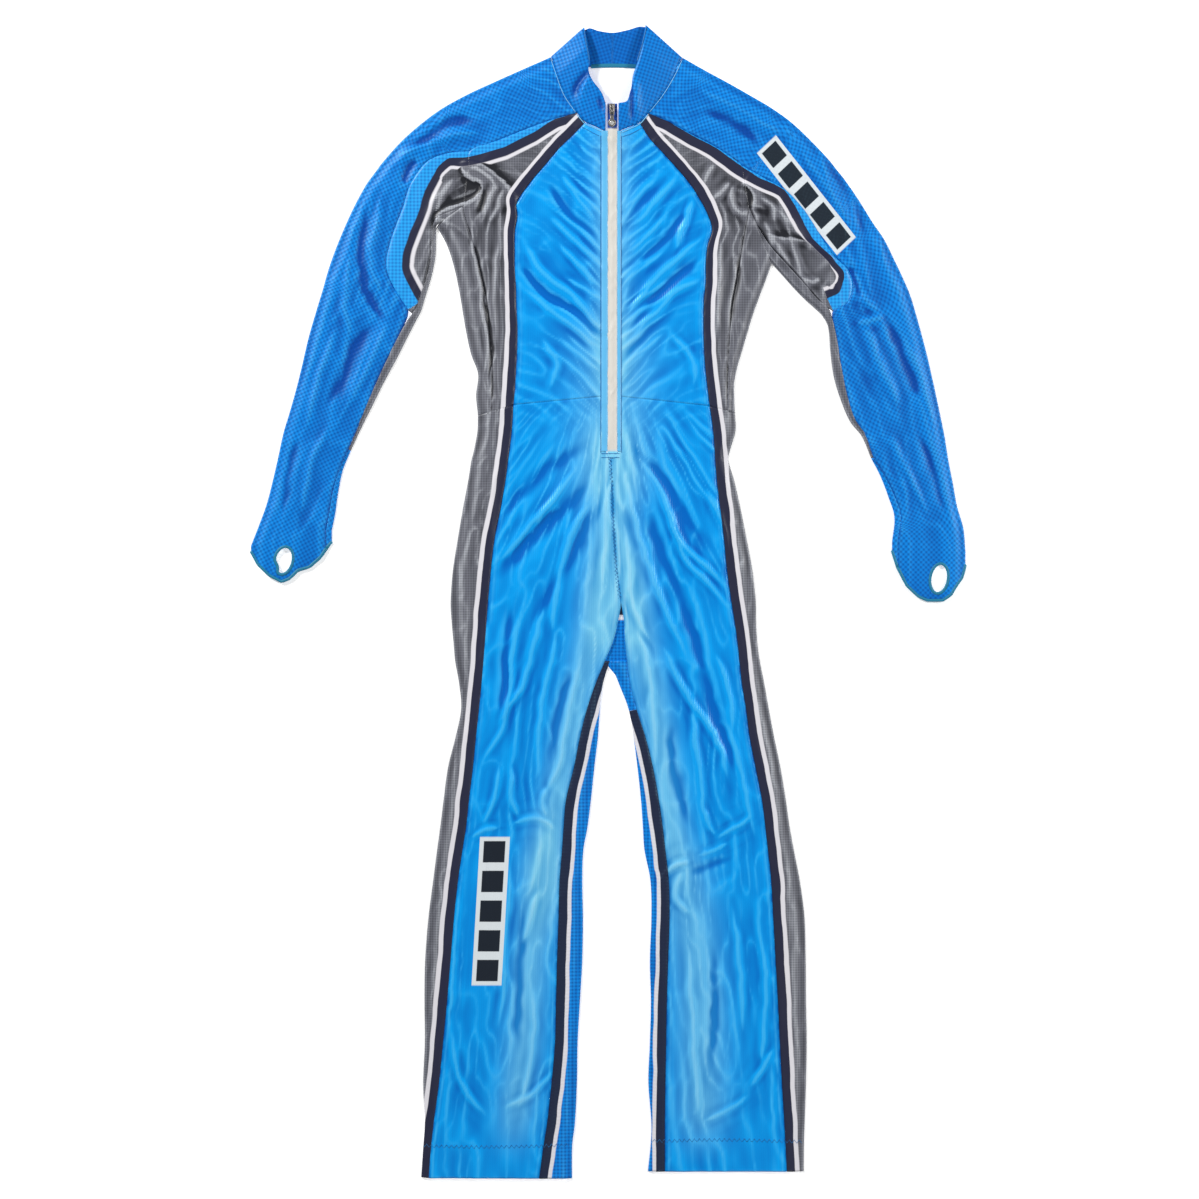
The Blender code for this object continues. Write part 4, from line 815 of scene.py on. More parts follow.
# The knit of a sleeve runs at 45 degrees to its path: (off + along, along - off) / sqrt(2).
def alongPath(path, u, v):
    shape = u.shape
    _, off, along = offsetFrom(path, u.ravel(), v.ravel(), 1e4)
    along = along * len(path) * 2.0
    return np.stack([off + along, along - off], -1).reshape(shape + (2,)) * plan["step"] / math.sqrt(2)


def frontPanel(name, side):
    front, middle = pairs(denseRows([(r[0], r[1], side["zip"], r[6]) for r in side["body"]], plan["grid"]))
    u, v, height, fromA, fromB = flatPanel(front, middle)
    return clothObject(name, clothGrid(u, v, height, patch=noBands(u)))


def sidePanel(name, side, word):
    body = side["body"]
    seam, outer = pairs(denseRows([r[:4] for r in body], plan["grid"]))
    dense = len(seam)
    row = np.linspace(0, len(body) - 1, dense)
    u, v, height, fromA, fromB = flatPanel(seam, outer, dips=(np.ones(dense), np.where((row > 4) & (row < 8), 0, 1)))
    navy, white = share(bands["torsoNavy"], len(body), dense), share(bands["torsoWhite"], len(body), dense)
    inner = bandEdges(fromA + 0.5 * softNoise(u / 11, v / 11, 13), navy, white, 4)
    grids = [clothGrid(u, v, height, inner=inner, outer=sleeveBands(u, v, word, side))]
    lower = [(r[2], r[3], r[4], r[5], r[0], r[1]) for r in body[armpit:]]
    seam, edge, back = pairs(denseRows(lower, plan["grid"]))
    u, v, height, fromSeam = foldedPanel(seam, edge, back)
    grids.append(clothGrid(u, v, height, inner=noBands(u), outer=noBands(u)))
    back = pairs(denseRows(side["back"] + [side["body"][armpit][:4]], 8))
    u, v, height, fromA, fromB = flatPanel(back[0], back[1], 8)
    grids.append(clothGrid(u, v, u * 0, faceUp=False, inner=noBands(u), outer=noBands(u)))
    return clothObject(name, *grids)


def gore(name, side, word):
    rows = side["sleeve"]
    seam, under = pairs(denseRows([r[2:6] for r in rows[4:16]], plan["grid"]))
    dense = len(seam)
    row = np.linspace(4, 15, dense)
    under = under + unit(under - seam) * 0.6 * (row < 7.5)[:, None]
    u, v, height, fromA, fromB = flatPanel(seam, under, dips=(np.ones(dense), np.where(row < 7.5, 0, 1)))
    grids = [clothGrid(u, v, height, inner=noBands(u), outer=sleeveBands(u, v, word, side))]
    wrap = [(r[4], r[5], r[6], r[7], r[8], r[9]) for r in rows[armpit:stripEnd + 1]]
    under, edge, back = pairs(denseRows(wrap, plan["grid"]))
    u, v, height, fromSeam = foldedPanel(under, edge, back)
    grids.append(clothGrid(u, v, height, inner=noBands(u), outer=noBands(u)))
    hidden = [(r[6], r[7], r[8], r[9]) for r in rows[4:armpit + 1]]
    one, two = pairs(denseRows(hidden, 8))
    u, v, height, fromA, fromB = flatPanel(one, two, 8)
    grids.append(clothGrid(u, v, u * 0, faceUp=False, inner=noBands(u), outer=noBands(u)))
    return clothObject(name, *grids)


# Rows past the last section hang on: v + drop(share across) x amount, so the cuff's end is slanted.
def hangOn(u, v, height, side, steps=16):
    last = side["sleeve"][-1]
    across = np.clip((u[-1] - last[0]) / (last[6] - last[0]), 0, 1)
    ends = np.asarray(side["cuffEnd"])
    drop = np.interp(across, ends[:, 0], ends[:, 1])
    amount = (np.arange(1, steps + 1) / steps)[:, None]
    u = np.concatenate([u, np.broadcast_to(u[-1], (steps, u.shape[1]))])
    v = np.concatenate([v, v[-1] + drop * amount])
    height = np.concatenate([height, height[-1] * (1 - 0.3 * amount)])
    return u, v, height


# Half width of the thumb hole: on its left it is drawn in by pinch x e^-((dv - 7) / 6)^2.
def holeHalf(hole, left, dv):
    return hole[2] * (1 - hole[5] * left * np.exp(-(((dv - 7) / 6) ** 2)))


# The thumb hole: cells inside the outline go, and corners left inside it move out onto it.
def cutHole(u, v, hole):
    holeU, holeV, halfU, halfV, lean, pinch = hole
    halfU = holeHalf(hole, ease((holeU - u) / 3 + 0.5), v - holeV)
    dv = (v - holeV) / halfV
    du = (u - holeU + (v - holeV) * lean) / halfU
    size = np.maximum(np.hypot(du, dv), 1e-6)
    inside = size < 1
    keep = ~(inside[:-1, :-1] & inside[:-1, 1:] & inside[1:, 1:] & inside[1:, :-1])
    grow = np.where(inside, 1 / size, 1)
    newV = holeV + (v - holeV) * grow
    newU = holeU + du * grow * halfU - (newV - holeV) * lean
    return np.where(inside, newU, u), np.where(inside, newV, v), keep


def sleevePath(side):
    return smoothPath([((r[0] + r[6]) / 2, (r[1] + r[7]) / 2) for r in side["sleeve"][armpit:]], 2.0)


def sleeve(name, side):
    rows = side["sleeve"]
    path = np.concatenate([smoothPath([(612 + (rows[0][0] - 612) * 0.6, 60)]
                                      + [((r[0] + r[2]) / 2, (r[1] + r[3]) / 2) for r in rows[1:6]]
                                      + [((r[0] + r[6]) / 2, (r[1] + r[7]) / 2) for r in rows[9:]], 2.0)])
    seam, edge, back = pairs(denseRows([(r[2], r[3], r[0], r[1], r[8], r[9]) for r in rows], plan["grid"]))
    u, v, height, fromSeam = foldedPanel(seam, edge, back)
    u, v, height = hangOn(u, v, height, side)
    u, v, keep = cutHole(u, v, side["hole"])
    patch = onPatch("sleeve", u, v) if side["mark"] == "l" else noBands(u)
    patch[height < 1] = 9.0
    grids = [clothGrid(u, v, height, weave=alongPath(path, u, v), patch=patch, inner=noBands(u))]
    grids[0]["keep"] = keep
    closing = [(r[4], r[5], r[6], r[7], r[8], r[9]) for r in rows[stripEnd:]]
    under, edge, back = pairs(denseRows(closing, plan["grid"]))
    u, v, height, fromSeam = foldedPanel(under, edge, back)
    u, v, height = hangOn(u, v, height, side)
    grids.append(clothGrid(u, v, height, weave=alongPath(path, u, v), patch=noBands(u), inner=noBands(u)))
    return clothObject(name, *grids)


def legFront(name, side):
    out, inn = pairs(denseRows([(r[3], r[4], r[5], r[6]) for r in side["leg"]], plan["grid"]))
    u, v, height, fromA, fromB = flatPanel(out, inn)
    patch = onPatch("thigh", u, v) if side["mark"] == "r" else noBands(u)
    return clothObject(name, clothGrid(u, v, height, patch=patch))


def legSide(name, side, white):
    out, edge, back = pairs(denseRows([(r[3], r[4], r[1], r[2], r[3], r[4]) for r in side["leg"]], plan["grid"]))
    u, v, height, fromSeam = foldedPanel(out, edge, back)
    wobble = 0.6 * softNoise(u / 13, v / 17, 14)
    inner = bandEdges(fromSeam + wobble, bands["legNavy"], white, 4)
    return clothObject(name, clothGrid(u, v, height, inner=inner, outer=noBands(u)))


def legBack(name, side, gusset):
    rows = side["leg"]
    inn, gap, back = pairs(denseRows([(r[5], r[6], r[7], r[6], r[3], r[4]) for r in rows[gapTop:]], plan["grid"]))
    u, v, height, fromSeam = foldedPanel(inn, gap, back)
    wobble = 0.6 * softNoise(u / 13, v / 17, 15)
    begun = ease((v - side["inseamFrom"]) / 12)
    white = bands["inseamWhite"] * ease((v[:, 0] - side["inseamWhiteFrom"]) / 20)
    inner = bandEdges(fromSeam + wobble, bands["inseamNavy"], white, 4) + (1 - begun[..., None]) * 9
    grids = [clothGrid(u, v, height, inner=inner)]
    middle, back = pairs(denseRows([(backMiddle, r[6], r[3], r[4]) for r in rows[:gapTop + 1]], 8))
    u, v, height, fromA, fromB = flatPanel(middle, back, 8)
    grids.append(clothGrid(u, v, u * 0, faceUp=False, inner=noBands(u)))
    if gusset:
        one, two = pairs(denseRows([(622, 600, 619, 600), (625, 622, 616, 622), (626, 642, 609, 642),
                                    (627.5, 654, 603.5, 654), (628.5, 664, 606, 663), (630, 686, 620, 682),
                                    (632, 710, 629, 708)], 2))
        u, v, height, fromA, fromB = flatPanel(one, two)
        inner = np.stack([(v - 598) / 17, (v - 598) / 22, v * 0 + 9], -1)
        grids.append(clothGrid(u, v, u * 0 + 2.2, inner=inner))
    for grid in grids:
        grid["fields"]["patch"] = noBands(grid["points"][..., 0])
    return clothObject(name, *grids)


def backPanel(name):
    left = [r[:2] for r in backR] + [r[:2] for r in bodyR[armpit:]]
    right = [r[:2] for r in backL] + [r[:2] for r in bodyL[armpit:]]
    one, two = pairs(denseRows([a + b for a, b in zip(left, right)], 4))
    u, v, height, fromA, fromB = flatPanel(one, two, 4)
    return clothObject(name, clothGrid(u, v, u * 0, faceUp=False, inner=noBands(u), patch=noBands(u)))


for word, side in sides.items():
    side["pieces"] = {
        "frontBody": frontPanel("frontBody" + word, side),
        "sidePanel": sidePanel("sidePanel" + word, side, word),
        "gore": gore("gore" + word, side, word),
        "sleeve": sleeve("sleeve" + word, side),
        "legFront": legFront("legFront" + word, side),
        "legSide": legSide("legSide" + word, side, bands["legWhite" + word]),
        "legBack": legBack("legBack" + word, side, word == "Left"),
    }
    print("cloth of the", word.lower(), "side made")
backBody = backPanel("backBody")


# Tube of flattened section along a path of 3-D points: centre + side a cos + up b sin.
def tubeData(path, wide, tall, sides=8, closed=False):
    path = np.asarray(path, float)
    ahead = np.roll(path, -1, 0) - np.roll(path, 1, 0) if closed else np.gradient(path, axis=0)
    ahead = unit(ahead)
    up = np.array([0.0, 0.0, 1.0])
    across = unit(np.cross(ahead, up))
    above = np.cross(across, ahead)
    turn = np.arange(sides) * 2 * np.pi / sides
    ring = across[:, None] * (wide * np.cos(turn))[None, :, None] + above[:, None] * (tall * np.sin(turn))[None, :, None]
    points = (path[:, None] + ring).reshape(-1, 3)
    count = len(path)
    k = np.arange(count if closed else count - 1)[:, None] * sides
    j = np.arange(sides)[None, :]
    after, turned = (k + sides) % (count * sides), (j + 1) % sides
    quads = np.stack([k + j, k + turned, after + turned, after + j], -1).reshape(-1, 4)
    return points, quads


def meshObject(name, points, faces, smooth=True, uv=None):
    mesh = bpy.data.meshes.new(name)
    mesh.from_pydata(np.asarray(points).tolist(), [], [list(map(int, f)) for f in faces])
    mesh.polygons.foreach_set("use_smooth", np.full(len(mesh.polygons), smooth))
    if uv is not None:
        loops = np.concatenate([np.asarray(f) for f in faces])
        mesh.uv_layers.new(name="weave").data.foreach_set("uv", np.asarray(uv, np.float32)[loops].ravel())
    piece = bpy.data.objects.new(name, mesh)
    bpy.context.collection.objects.link(piece)
    return piece


def joined(name, parts, smooth=True):
    start, points, faces = 0, [], []
    for partPoints, partFaces in parts:
        points.append(partPoints)
        faces.extend((np.asarray(partFaces) + start).tolist())
        start += len(partPoints)
    return meshObject(name, np.concatenate(points), faces, smooth)


def worldPath(path, height):
    path = np.asarray(path, float)
    return toWorld(path[:, 0], path[:, 1], height)


# Collar rows as lines of (u, v, height): front rows rise by sin(share x 90 degrees) from the neck seam,
# side rows turn half a circle about the fold, and back rows lie on the floor.
collarShape = {"top": 12.6, "fold": 8.2, "steps": 12, "back": 0.9, "round": 2.4,
               "bow": (0, 0, 0, 1.0, 3.4, 3.0)}
collarFolds = [
    (-3.0, 5, 592, 69, 583, 78, 576, 88, 574, 100),
    (2.0, 4, 594, 78, 586, 84, 582, 96, 584, 110),
    (-2.2, 3.5, 599, 96, 600, 104, 604, 112),
    (-2.6, 3, 631, 82, 632, 100, 632, 124),
    (1.8, 4, 636, 76, 637, 96, 636, 116),
]


def collarLine(base, top, low, high, share):
    u = base[0] + (top[0] - base[0]) * share
    v = base[1] + (top[1] - base[1]) * share
    return np.stack([u, v, low + (high - low) * np.sin(share * np.pi / 2)], -1)


def collarRows():
    share = np.linspace(0.01, 1, collarShape["steps"] + 1)
    rows = []

    def front(row):
        low = float(clothHeight(np.array([row[0]]), np.array([row[1]]))[0]) + 0.3
        rows.append(collarLine(row[:2], row[2:], low, collarShape["top"], share))

    def fold(row, near, turns):
        low = float(clothHeight(np.array([row[0]]), np.array([row[1]]))[0]) * 0.8
        edge = collarLine(row[:2], row[2:], low, collarShape["fold"], share)
        other = collarLine(near[:2], near[2:], low, collarShape["fold"], share)
        flat = unit(other[:, :2] - edge[:, :2])
        for turn in turns:
            line = edge.copy()
            line[:, :2] += flat * collarShape["round"] * (1 - math.sin(turn))
            line[:, 2] = collarShape["back"] + (edge[:, 2] - collarShape["back"]) / 2 * (1 + math.cos(turn))
            rows.append(line)

    turns = [math.pi * k / 6 for k in range(7)]
    for k, row in enumerate(collarFrontR):
        front((row[0] - collarShape["bow"][k], row[1] + collarShape["bow"][k] * 0.3) + row[2:])
    fold((550.5, 56.5, 584, 27), collarFrontR[-1], turns)
    for row in collarBack:
        rows.append(collarLine(row[:2], row[2:], collarShape["back"], collarShape["back"], share))
    fold((683, 57, 646, 24), collarFrontL[0], turns[::-1])
    for k, row in enumerate(collarFrontL):
        front((row[0] + collarShape["bow"][5 - k], row[1] + collarShape["bow"][5 - k] * 0.3) + row[2:])
    return np.array(rows)


def collarObject(name):
    rows = collarRows()
    flat = rows[..., :2]
    heights = np.stack([rows[..., 2], rows[..., 2] * 0], -1)
    dense = 1.6
    place = denseRows(flat.reshape(len(rows), -1), dense)
    share = np.linspace(0, 1, len(rows))
    # Heights follow the same sections, by the share of the way round.
    span = np.maximum(np.sqrt((np.diff(flat, axis=0) ** 2).sum(-1)).mean(1), 1e-6)
    share = np.concatenate(([0], np.cumsum(span))) / span.sum()
    t = np.linspace(0, 1, len(place))
    height = np.stack([np.interp(t, share, rows[:, k, 2]) for k in range(rows.shape[1])], 1)
    u, v = place[..., 0], place[..., 1]
    onFront = ease((height - 1) / 3)
    height = height + sumAlong(u, v, collarFolds, 0.3) * onFront
    turn = np.where(u < 612, 0.3, -0.3)
    weave = np.stack([u * np.cos(turn) - v * np.sin(turn), u * np.sin(turn) + v * np.cos(turn)], -1) * plan["step"]
    # Painted shade: darker along the collar's fold troughs, lighter on its fold ridges, and darker where the collar
    # lies flat inside the neck.
    dark = -0.45 * sumAlong(u, v, collarFolds, 0.3) * onFront + 0.35 * (height < 1.2)
    grid = clothGrid(u, v, height, weave=weave, inner=noBands(u), patch=noBands(u), deep=np.clip(dark, -1, 1), crest=u * 0)
    grid["flip"] = False
    return clothObject(name, grid)


collar = collarObject("neckCollar")


def zipTape(name):
    top, end = 104.0, 458.5
    v = np.arange(top, end, 1.5)[:, None]
    t = np.array([0, 0.08, 0.2, 0.3, 0.4, 0.47, 0.53, 0.6, 0.7, 0.8, 0.92, 1.0])[None, :]
    u = 607.6 + (617.2 - 607.6) * t + 0 * v
    v = v + 0 * t
    bump = np.where(np.abs(t - 0.5) < 0.12, 0.5, 0.0) + 0.0 * v
    height = clothHeight(u, v) + bump - 0.1
    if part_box("zip_slider"):
        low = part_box("zip_slider")[0][2] * 1000
        near = np.exp(-(((v - 109) / 14) ** 2))
        height = np.minimum(height, low - 0.4 + (1 - near) * 6)
    return clothObject(name, clothGrid(u, v, height, covered=ease((129.5 - v) / 2),
                                       ended=ease((v - 450.2) / 0.8)))


tape = zipTape("zipTape")


# Bindings: a folded teal strip round the cuff's end and round the thumb hole.
def cuffEdge(name, side):
    rows = side["sleeve"]
    paths = []
    for table in ([(r[2], r[3], r[0], r[1], r[8], r[9]) for r in rows],
                  [(r[4], r[5], r[6], r[7], r[8], r[9]) for r in rows[stripEnd:]]):
        seam, edge, back = pairs(denseRows(table, plan["grid"]))
        u, v, height, fromSeam = foldedPanel(seam, edge, back)
        u, v, height = hangOn(u, v, height, side)
        paths.append(toWorld(u[-1], v[-1], height[-1] - 0.2 + 0.6 * (height[-1] < 0.5)))
    ring = np.concatenate([paths[0], paths[1][::-1][1:]])
    points, quads = tubeData(ring, 0.0019, 0.0011, 8, True)
    return meshObject(name, points, quads)


def thumbEdge(name, side):
    holeU, holeV, halfU, halfV, lean, pinch = side["hole"]
    a = np.linspace(0, 2 * np.pi, 73)[:-1]
    dv = halfV * np.sin(a)
    halfU = holeHalf(side["hole"], ease(0.5 - halfU * np.cos(a) / 3), dv)
    u, v = holeU + halfU * np.cos(a) - dv * lean, holeV + dv
    points, quads = tubeData(toWorld(u, v, heightOn(u, v) - 0.4), 0.0020, 0.0011, 8, True)
    return meshObject(name, points, quads)


# A flat plate from an outline, its rim rounded by a ring drawn in by bevel at both faces.
def plateData(outline, low, high, bevel):
    outline = np.asarray(outline, float)
    count = len(outline)
    ahead = np.roll(outline, -1, 0) - np.roll(outline, 1, 0)
    inward = unit(np.stack([-ahead[:, 1], ahead[:, 0]], -1))
    rings = []
    for height, draw in ((low, 1), (low + bevel * 0.4, 0.3), (low + bevel, 0), (high - bevel, 0),
                         (high - bevel * 0.4, 0.3), (high, 1)):
        ring = outline + inward * bevel * draw
        rings.append(np.concatenate([ring, np.full((count, 1), height)], 1))
    points = np.concatenate(rings)
    faces = [tuple(range(count))[::-1], tuple(range(5 * count, 6 * count))]
    for level in range(5):
        faces += [(level * count + k, level * count + (k + 1) % count, (level + 1) * count + (k + 1) % count,
                   (level + 1) * count + k) for k in range(count)]
    return points, faces


def mixedObject(name, parts, smooth=True):
    points, faces, start = [], [], 0
    for partPoints, partFaces in parts:
        points.append(np.asarray(partPoints))
        faces += [tuple(int(k) + start for k in face) for face in partFaces]
        start += len(partPoints)
    return meshObject(name, np.concatenate(points), faces, smooth)


# Rounded box outline, counter-clockwise: half widths at its top and bottom, corners of 6 points.
def roundedOutline(x, top, bottom, wideTop, wideBottom, corner):
    points = []
    for sx, y, wide, start in ((1, top, wideTop, 0), (-1, top, wideTop, 90), (-1, bottom, wideBottom, 180),
                               (1, bottom, wideBottom, 270)):
        cx, cy = x + sx * (wide - corner), y - corner if y == top else y + corner
        for k in range(6):
            angle = math.radians(start + 18 * k)
            points.append((cx + corner * math.cos(angle), cy + corner * math.sin(angle)))
    return points


metalParts = {
    "plate": 0.0010, "gap": 0.0010, "bridgeRise": 0.0017, "bridgeWire": 0.00085,
    "tabSwing": math.radians(11), "tabThick": 0.0010, "tabReach": 0.0143, "tabRound": 0.0050, "tabNeck": 0.0024,
}
pin = np.array([0.0046875, 0.61125, 0.0155])


def sliderObject(name):
    low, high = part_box("zip_slider")
    x, top, bottom = (low[0] + high[0]) / 2, high[1], low[1]
    half = (high[0] - low[0]) / 2
    foot = low[2]
    upper = foot + metalParts["plate"] + metalParts["gap"]
    parts = [plateData(roundedOutline(x, top, bottom, half, half * 0.78, 0.0012), foot, foot + metalParts["plate"], 0.0003),
             plateData(roundedOutline(x, top, bottom, half, half * 0.78, 0.0012), upper, upper + metalParts["plate"], 0.0004),
             plateData(roundedOutline(x, top - 0.001, bottom + 0.008, 0.0014, 0.0007, 0.0005),
                       foot + 0.0006, upper + 0.0004, 0.0001)]
    turns = np.linspace(0, np.pi, 25)
    seat = upper + metalParts["plate"] - 0.0004
    for side in (-1, 1):
        loop = np.stack([np.full(25, x + side * 0.0017), (top + bottom) / 2 + 0.0002 + 0.0048 * np.cos(turns),
                         seat + 0.0014 * np.sin(turns) ** 0.7], -1)
        parts.append(tubeData(loop, metalParts["bridgeWire"], metalParts["bridgeWire"], 10))
    knuckle = np.array([[x - 0.0011, pin[1], pin[2]], [x + 0.0011, pin[1], pin[2]]])
    turns = np.linspace(0, 2 * np.pi, 21)[:-1]
    ring = np.stack([np.full(20, x), pin[1] + 0.00125 * np.cos(turns), pin[2] + 0.00125 * np.sin(turns)], -1)
    ahead = unit(np.roll(ring, -1, 0) - np.roll(ring, 1, 0))
    parts.append(tubeData(ring, 0.0011, 0.0005, 8, True))
    return mixedObject(name, parts)


slider = sliderObject("zipSlider")


# The tab is made about its hinge pin, then swung down: y' = y cos a, z' = y sin a.
def tabObject(name):
    thick, reach, radius, neck = (metalParts[k] for k in ("tabThick", "tabReach", "tabRound", "tabNeck"))
    start = math.acos(neck / radius)
    turns = [start - (2 * start + math.pi) * k / 40 for k in range(41)]
    outline = [(neck, -0.0050)] + [(radius * math.cos(a), -reach + radius * math.sin(a)) for a in turns]
    outline = (outline + [(-neck, -0.0050)])[::-1]
    parts = [plateData(outline, -thick / 2, thick / 2, 0.0003)]
    eye = [(-0.0021, -0.0050, 0), (-0.0021, -0.0012, 0), (-0.0015, -0.0002, 0), (0, 0, 0),
           (0.0015, -0.0002, 0), (0.0021, -0.0012, 0), (0.0021, -0.0050, 0)]
    parts.append(tubeData(eye, 0.0005, 0.0005, 8))
    turns = np.linspace(0, 2 * np.pi, 49)[:-1]
    rim = np.stack([0.0040 * np.cos(turns), -reach + 0.0040 * np.sin(turns), np.full(48, thick / 2)], -1)
    parts.append(tubeData(rim, 0.0006, 0.0004, 8, True))
    size, rise = 0.0026, 0.0004
    disc = [(size * math.cos(a), -reach + size * math.sin(a)) for a in np.linspace(0, 2 * np.pi, 25)[:-1]]
    parts.append(plateData(disc, thick / 2 - 0.0001, thick / 2 + rise, 0.00025))
    plain = sum(len(faces) for points, faces in parts[:-1])
    swung = []
    swing = metalParts["tabSwing"]
    for points, faces in parts:
        points = np.asarray(points, float)
        y, z = points[:, 1].copy(), points[:, 2].copy()
        points = np.stack([points[:, 0] + pin[0], pin[1] + y * math.cos(swing) - z * math.sin(swing),
                           pin[2] + y * math.sin(swing) + z * math.cos(swing)], -1)
        swung.append((points, faces))
    piece = mixedObject(name, swung)
    piece["plain"] = plain
    return piece


tab = tabObject("pullTab")


# Mean height of the upper cloth in cells of 3 plan units, for stitches that lie on it.
def heightMap():
    cells = np.zeros((410, 410))
    count = np.zeros((410, 410))
    for part in tops:
        part = part[part[:, 2] > 1.2]
        i, j = (part[:, 1] / 3).astype(int), (part[:, 0] / 3).astype(int)
        np.add.at(cells, (i, j), part[:, 2])
        np.add.at(count, (i, j), 1)
    return cells / np.maximum(count, 1), count > 0


cellHeight, cellKnown = heightMap()


def heightOn(u, v):
    x, y = u / 3 - 0.5, v / 3 - 0.5
    i, j = np.floor(y).astype(int), np.floor(x).astype(int)
    total, weight = np.zeros(np.shape(u)), np.zeros(np.shape(u)) + 1e-9
    for di in (0, 1):
        for dj in (0, 1):
            share = (1 - np.abs(y - i - di)) * (1 - np.abs(x - j - dj)) * cellKnown[i + di, j + dj]
            total += share * cellHeight[i + di, j + dj]
            weight += share
    return np.where(weight > 0.01, total / weight, clothHeight(u, v))


for word, side in sides.items():
    side["pieces"]["cuffEdge"] = cuffEdge("cuffEdge" + word, side)
    side["pieces"]["thumbEdge"] = thumbEdge("thumbEdge" + word, side)


# Straight stitches: dashes of a thread along the path; zigzag: a thread that swings by `swing` each `pitch`.
def threadParts(path, radius, pitch=None, length=None, swing=0.0, lift=0.15):
    path = smoothPath(path, 0.6)
    steps = np.concatenate(([0], np.cumsum(np.hypot(*np.diff(path, axis=0).T))))
    way = unit(np.gradient(path, axis=0))

    def at(distance, off):
        u = np.interp(distance, steps, path[:, 0]) - off * np.interp(distance, steps, way[:, 1])
        v = np.interp(distance, steps, path[:, 1]) + off * np.interp(distance, steps, way[:, 0])
        return toWorld(u, v, heightOn(u, v) + lift)

    if swing:
        corners = np.arange(0, steps[-1], pitch / 2)
        return [tubeData(at(corners, swing * (-1.0) ** np.arange(len(corners))), radius, radius, 4)]
    if pitch is None:
        return [tubeData(at(np.arange(0, steps[-1], 1.5), 0), radius, radius, 6)]
    return [tubeData(at(start + np.linspace(0, length, 3), 0), radius, radius, 5)
            for start in np.arange(0, steps[-1] - length, pitch)]


# Seams of thread by colour: each row is the path, then how it is sewn.
sewing = {
    "paleThread": {"tone": "paleThread", "rows": [
        ([(551, 59), (556, 74), (564, 95), (575.5, 112)], {"radius": 0.00045}),
        ([(682, 60), (675, 75), (663, 95), (649.5, 112)], {"radius": 0.00045}),
        ([(577, 114.5), (585, 123.6), (595, 128.6), (604.5, 133.2)], {"radius": 0.0006}),
        ([(648, 114.5), (640, 123.8), (630, 128.8), (620.5, 133.2)], {"radius": 0.0006}),
    ]},
    "blueThread": {"tone": "blueThread", "rows": [
        ([(600.8, 136), (600.8, 300), (600.8, 454)], {"radius": 0.0004}),
        ([(621.4, 136), (621.4, 300), (621.4, 454)], {"radius": 0.0004}),
        ([(582, 127), (593, 133), (600, 136.5)], {"radius": 0.0004}),
        ([(643, 127), (633, 133), (622, 137)], {"radius": 0.0004}),
        ([(584, 29), (586.5, 46), (589.5, 62)], {"radius": 0.0005}),
        ([(646.5, 27), (642, 46), (637, 62)], {"radius": 0.0005}),
        ([(601.5, 453.5), (620.5, 453.5)], {"radius": 0.0004}),
        ([(601.5, 457.5), (620.5, 457.5)], {"radius": 0.0004}),
        ([(610, 459), (612, 490), (613, 519), (616, 567), (617, 579), (620, 600)],
         {"radius": 0.00035, "pitch": 4.0, "swing": 1.5}),
        ([(424, 1146), (480, 1147), (546, 1146), (570, 1145)], {"radius": 0.00035, "pitch": 5.0, "swing": 1.6}),
        ([(652, 1141.5), (722, 1140), (802, 1142)], {"radius": 0.00035, "pitch": 5.0, "swing": 1.6}),
    ]},
}
for key, work in sewing.items():
    parts = []
    for path, how in work["rows"]:
        parts += threadParts(path, **how)
    work["piece"] = mixedObject(key, parts)

# Welts of folded cloth on both sides of the zip: flattened rolls on the front panels.
welts = {"left": (604.6, 0.0042, 0.0010), "right": (619.2, 0.0024, 0.0009)}
weltParts = []
for place, wide, tall in welts.values():
    v = np.arange(131.0, 453.0, 2.0)
    u = np.full(v.shape, place)
    weltParts.append(tubeData(toWorld(u, v, heightOn(u, v) + 0.1), wide, tall, 12))
welt = mixedObject("zipWelts", weltParts)

# Teal tape over the seam of the back neck.
u = np.linspace(591, 636, 24)
v = 66 + 0.9 * ((u - 613.5) / 22.5) ** 2
points, faces = tubeData(toWorld(u, v - 1.2, np.full(24, 1.6)), 0.0026, 0.0006, 10)
neckTape = meshObject("neckTape", points, faces)

# Materials
print("materials")


# sRGB hex to linear: c/12.92 below 0.04045, else ((c + 0.055)/1.055)^2.4.
def colour(text):
    values = [int(text[k:k + 2], 16) / 255 for k in (1, 3, 5)]
    return tuple(c / 12.92 if c <= 0.04045 else ((c + 0.055) / 1.055) ** 2.4 for c in values) + (1.0,)


def node(tree, kind, settings=(), **links):
    made = tree.nodes.new("ShaderNode" + kind)
    for key, value in dict(settings).items():
        if isinstance(key, int) or key in made.inputs:
            made.inputs[key].default_value = value
        else:
            setattr(made, key, value)
    for key, source in links.items():
        slot = made.inputs[int(key[1:])] if key[0] == "_" and key[1:].isdigit() else made.inputs[key.replace("_", " ")]
        tree.links.new(source, slot)
    return made


def newMaterial(name):
    made = bpy.data.materials.new(name)
    made.use_nodes = True
    made.node_tree.nodes.clear()
    return made, made.node_tree


def math1(tree, operation, a, b=None, clamp=False):
    made = tree.nodes.new("ShaderNodeMath")
    made.operation, made.use_clamp = operation, clamp
    for slot, value in zip(made.inputs, (a, b)):
        if value is None:
            continue
        if isinstance(value, (int, float)):
            slot.default_value = value
        else:
            tree.links.new(value, slot)
    return made.outputs[0]


def mixColour(tree, share, a, b, blend="MIX"):
    made = tree.nodes.new("ShaderNodeMix")
    made.data_type, made.blend_type = "RGBA", blend
    for slot, value in ((made.inputs[0], share), (made.inputs[6], a), (made.inputs[7], b)):
        if isinstance(value, (int, float, tuple)):
            slot.default_value = value
        else:
            tree.links.new(value, slot)
    return made.outputs[2]


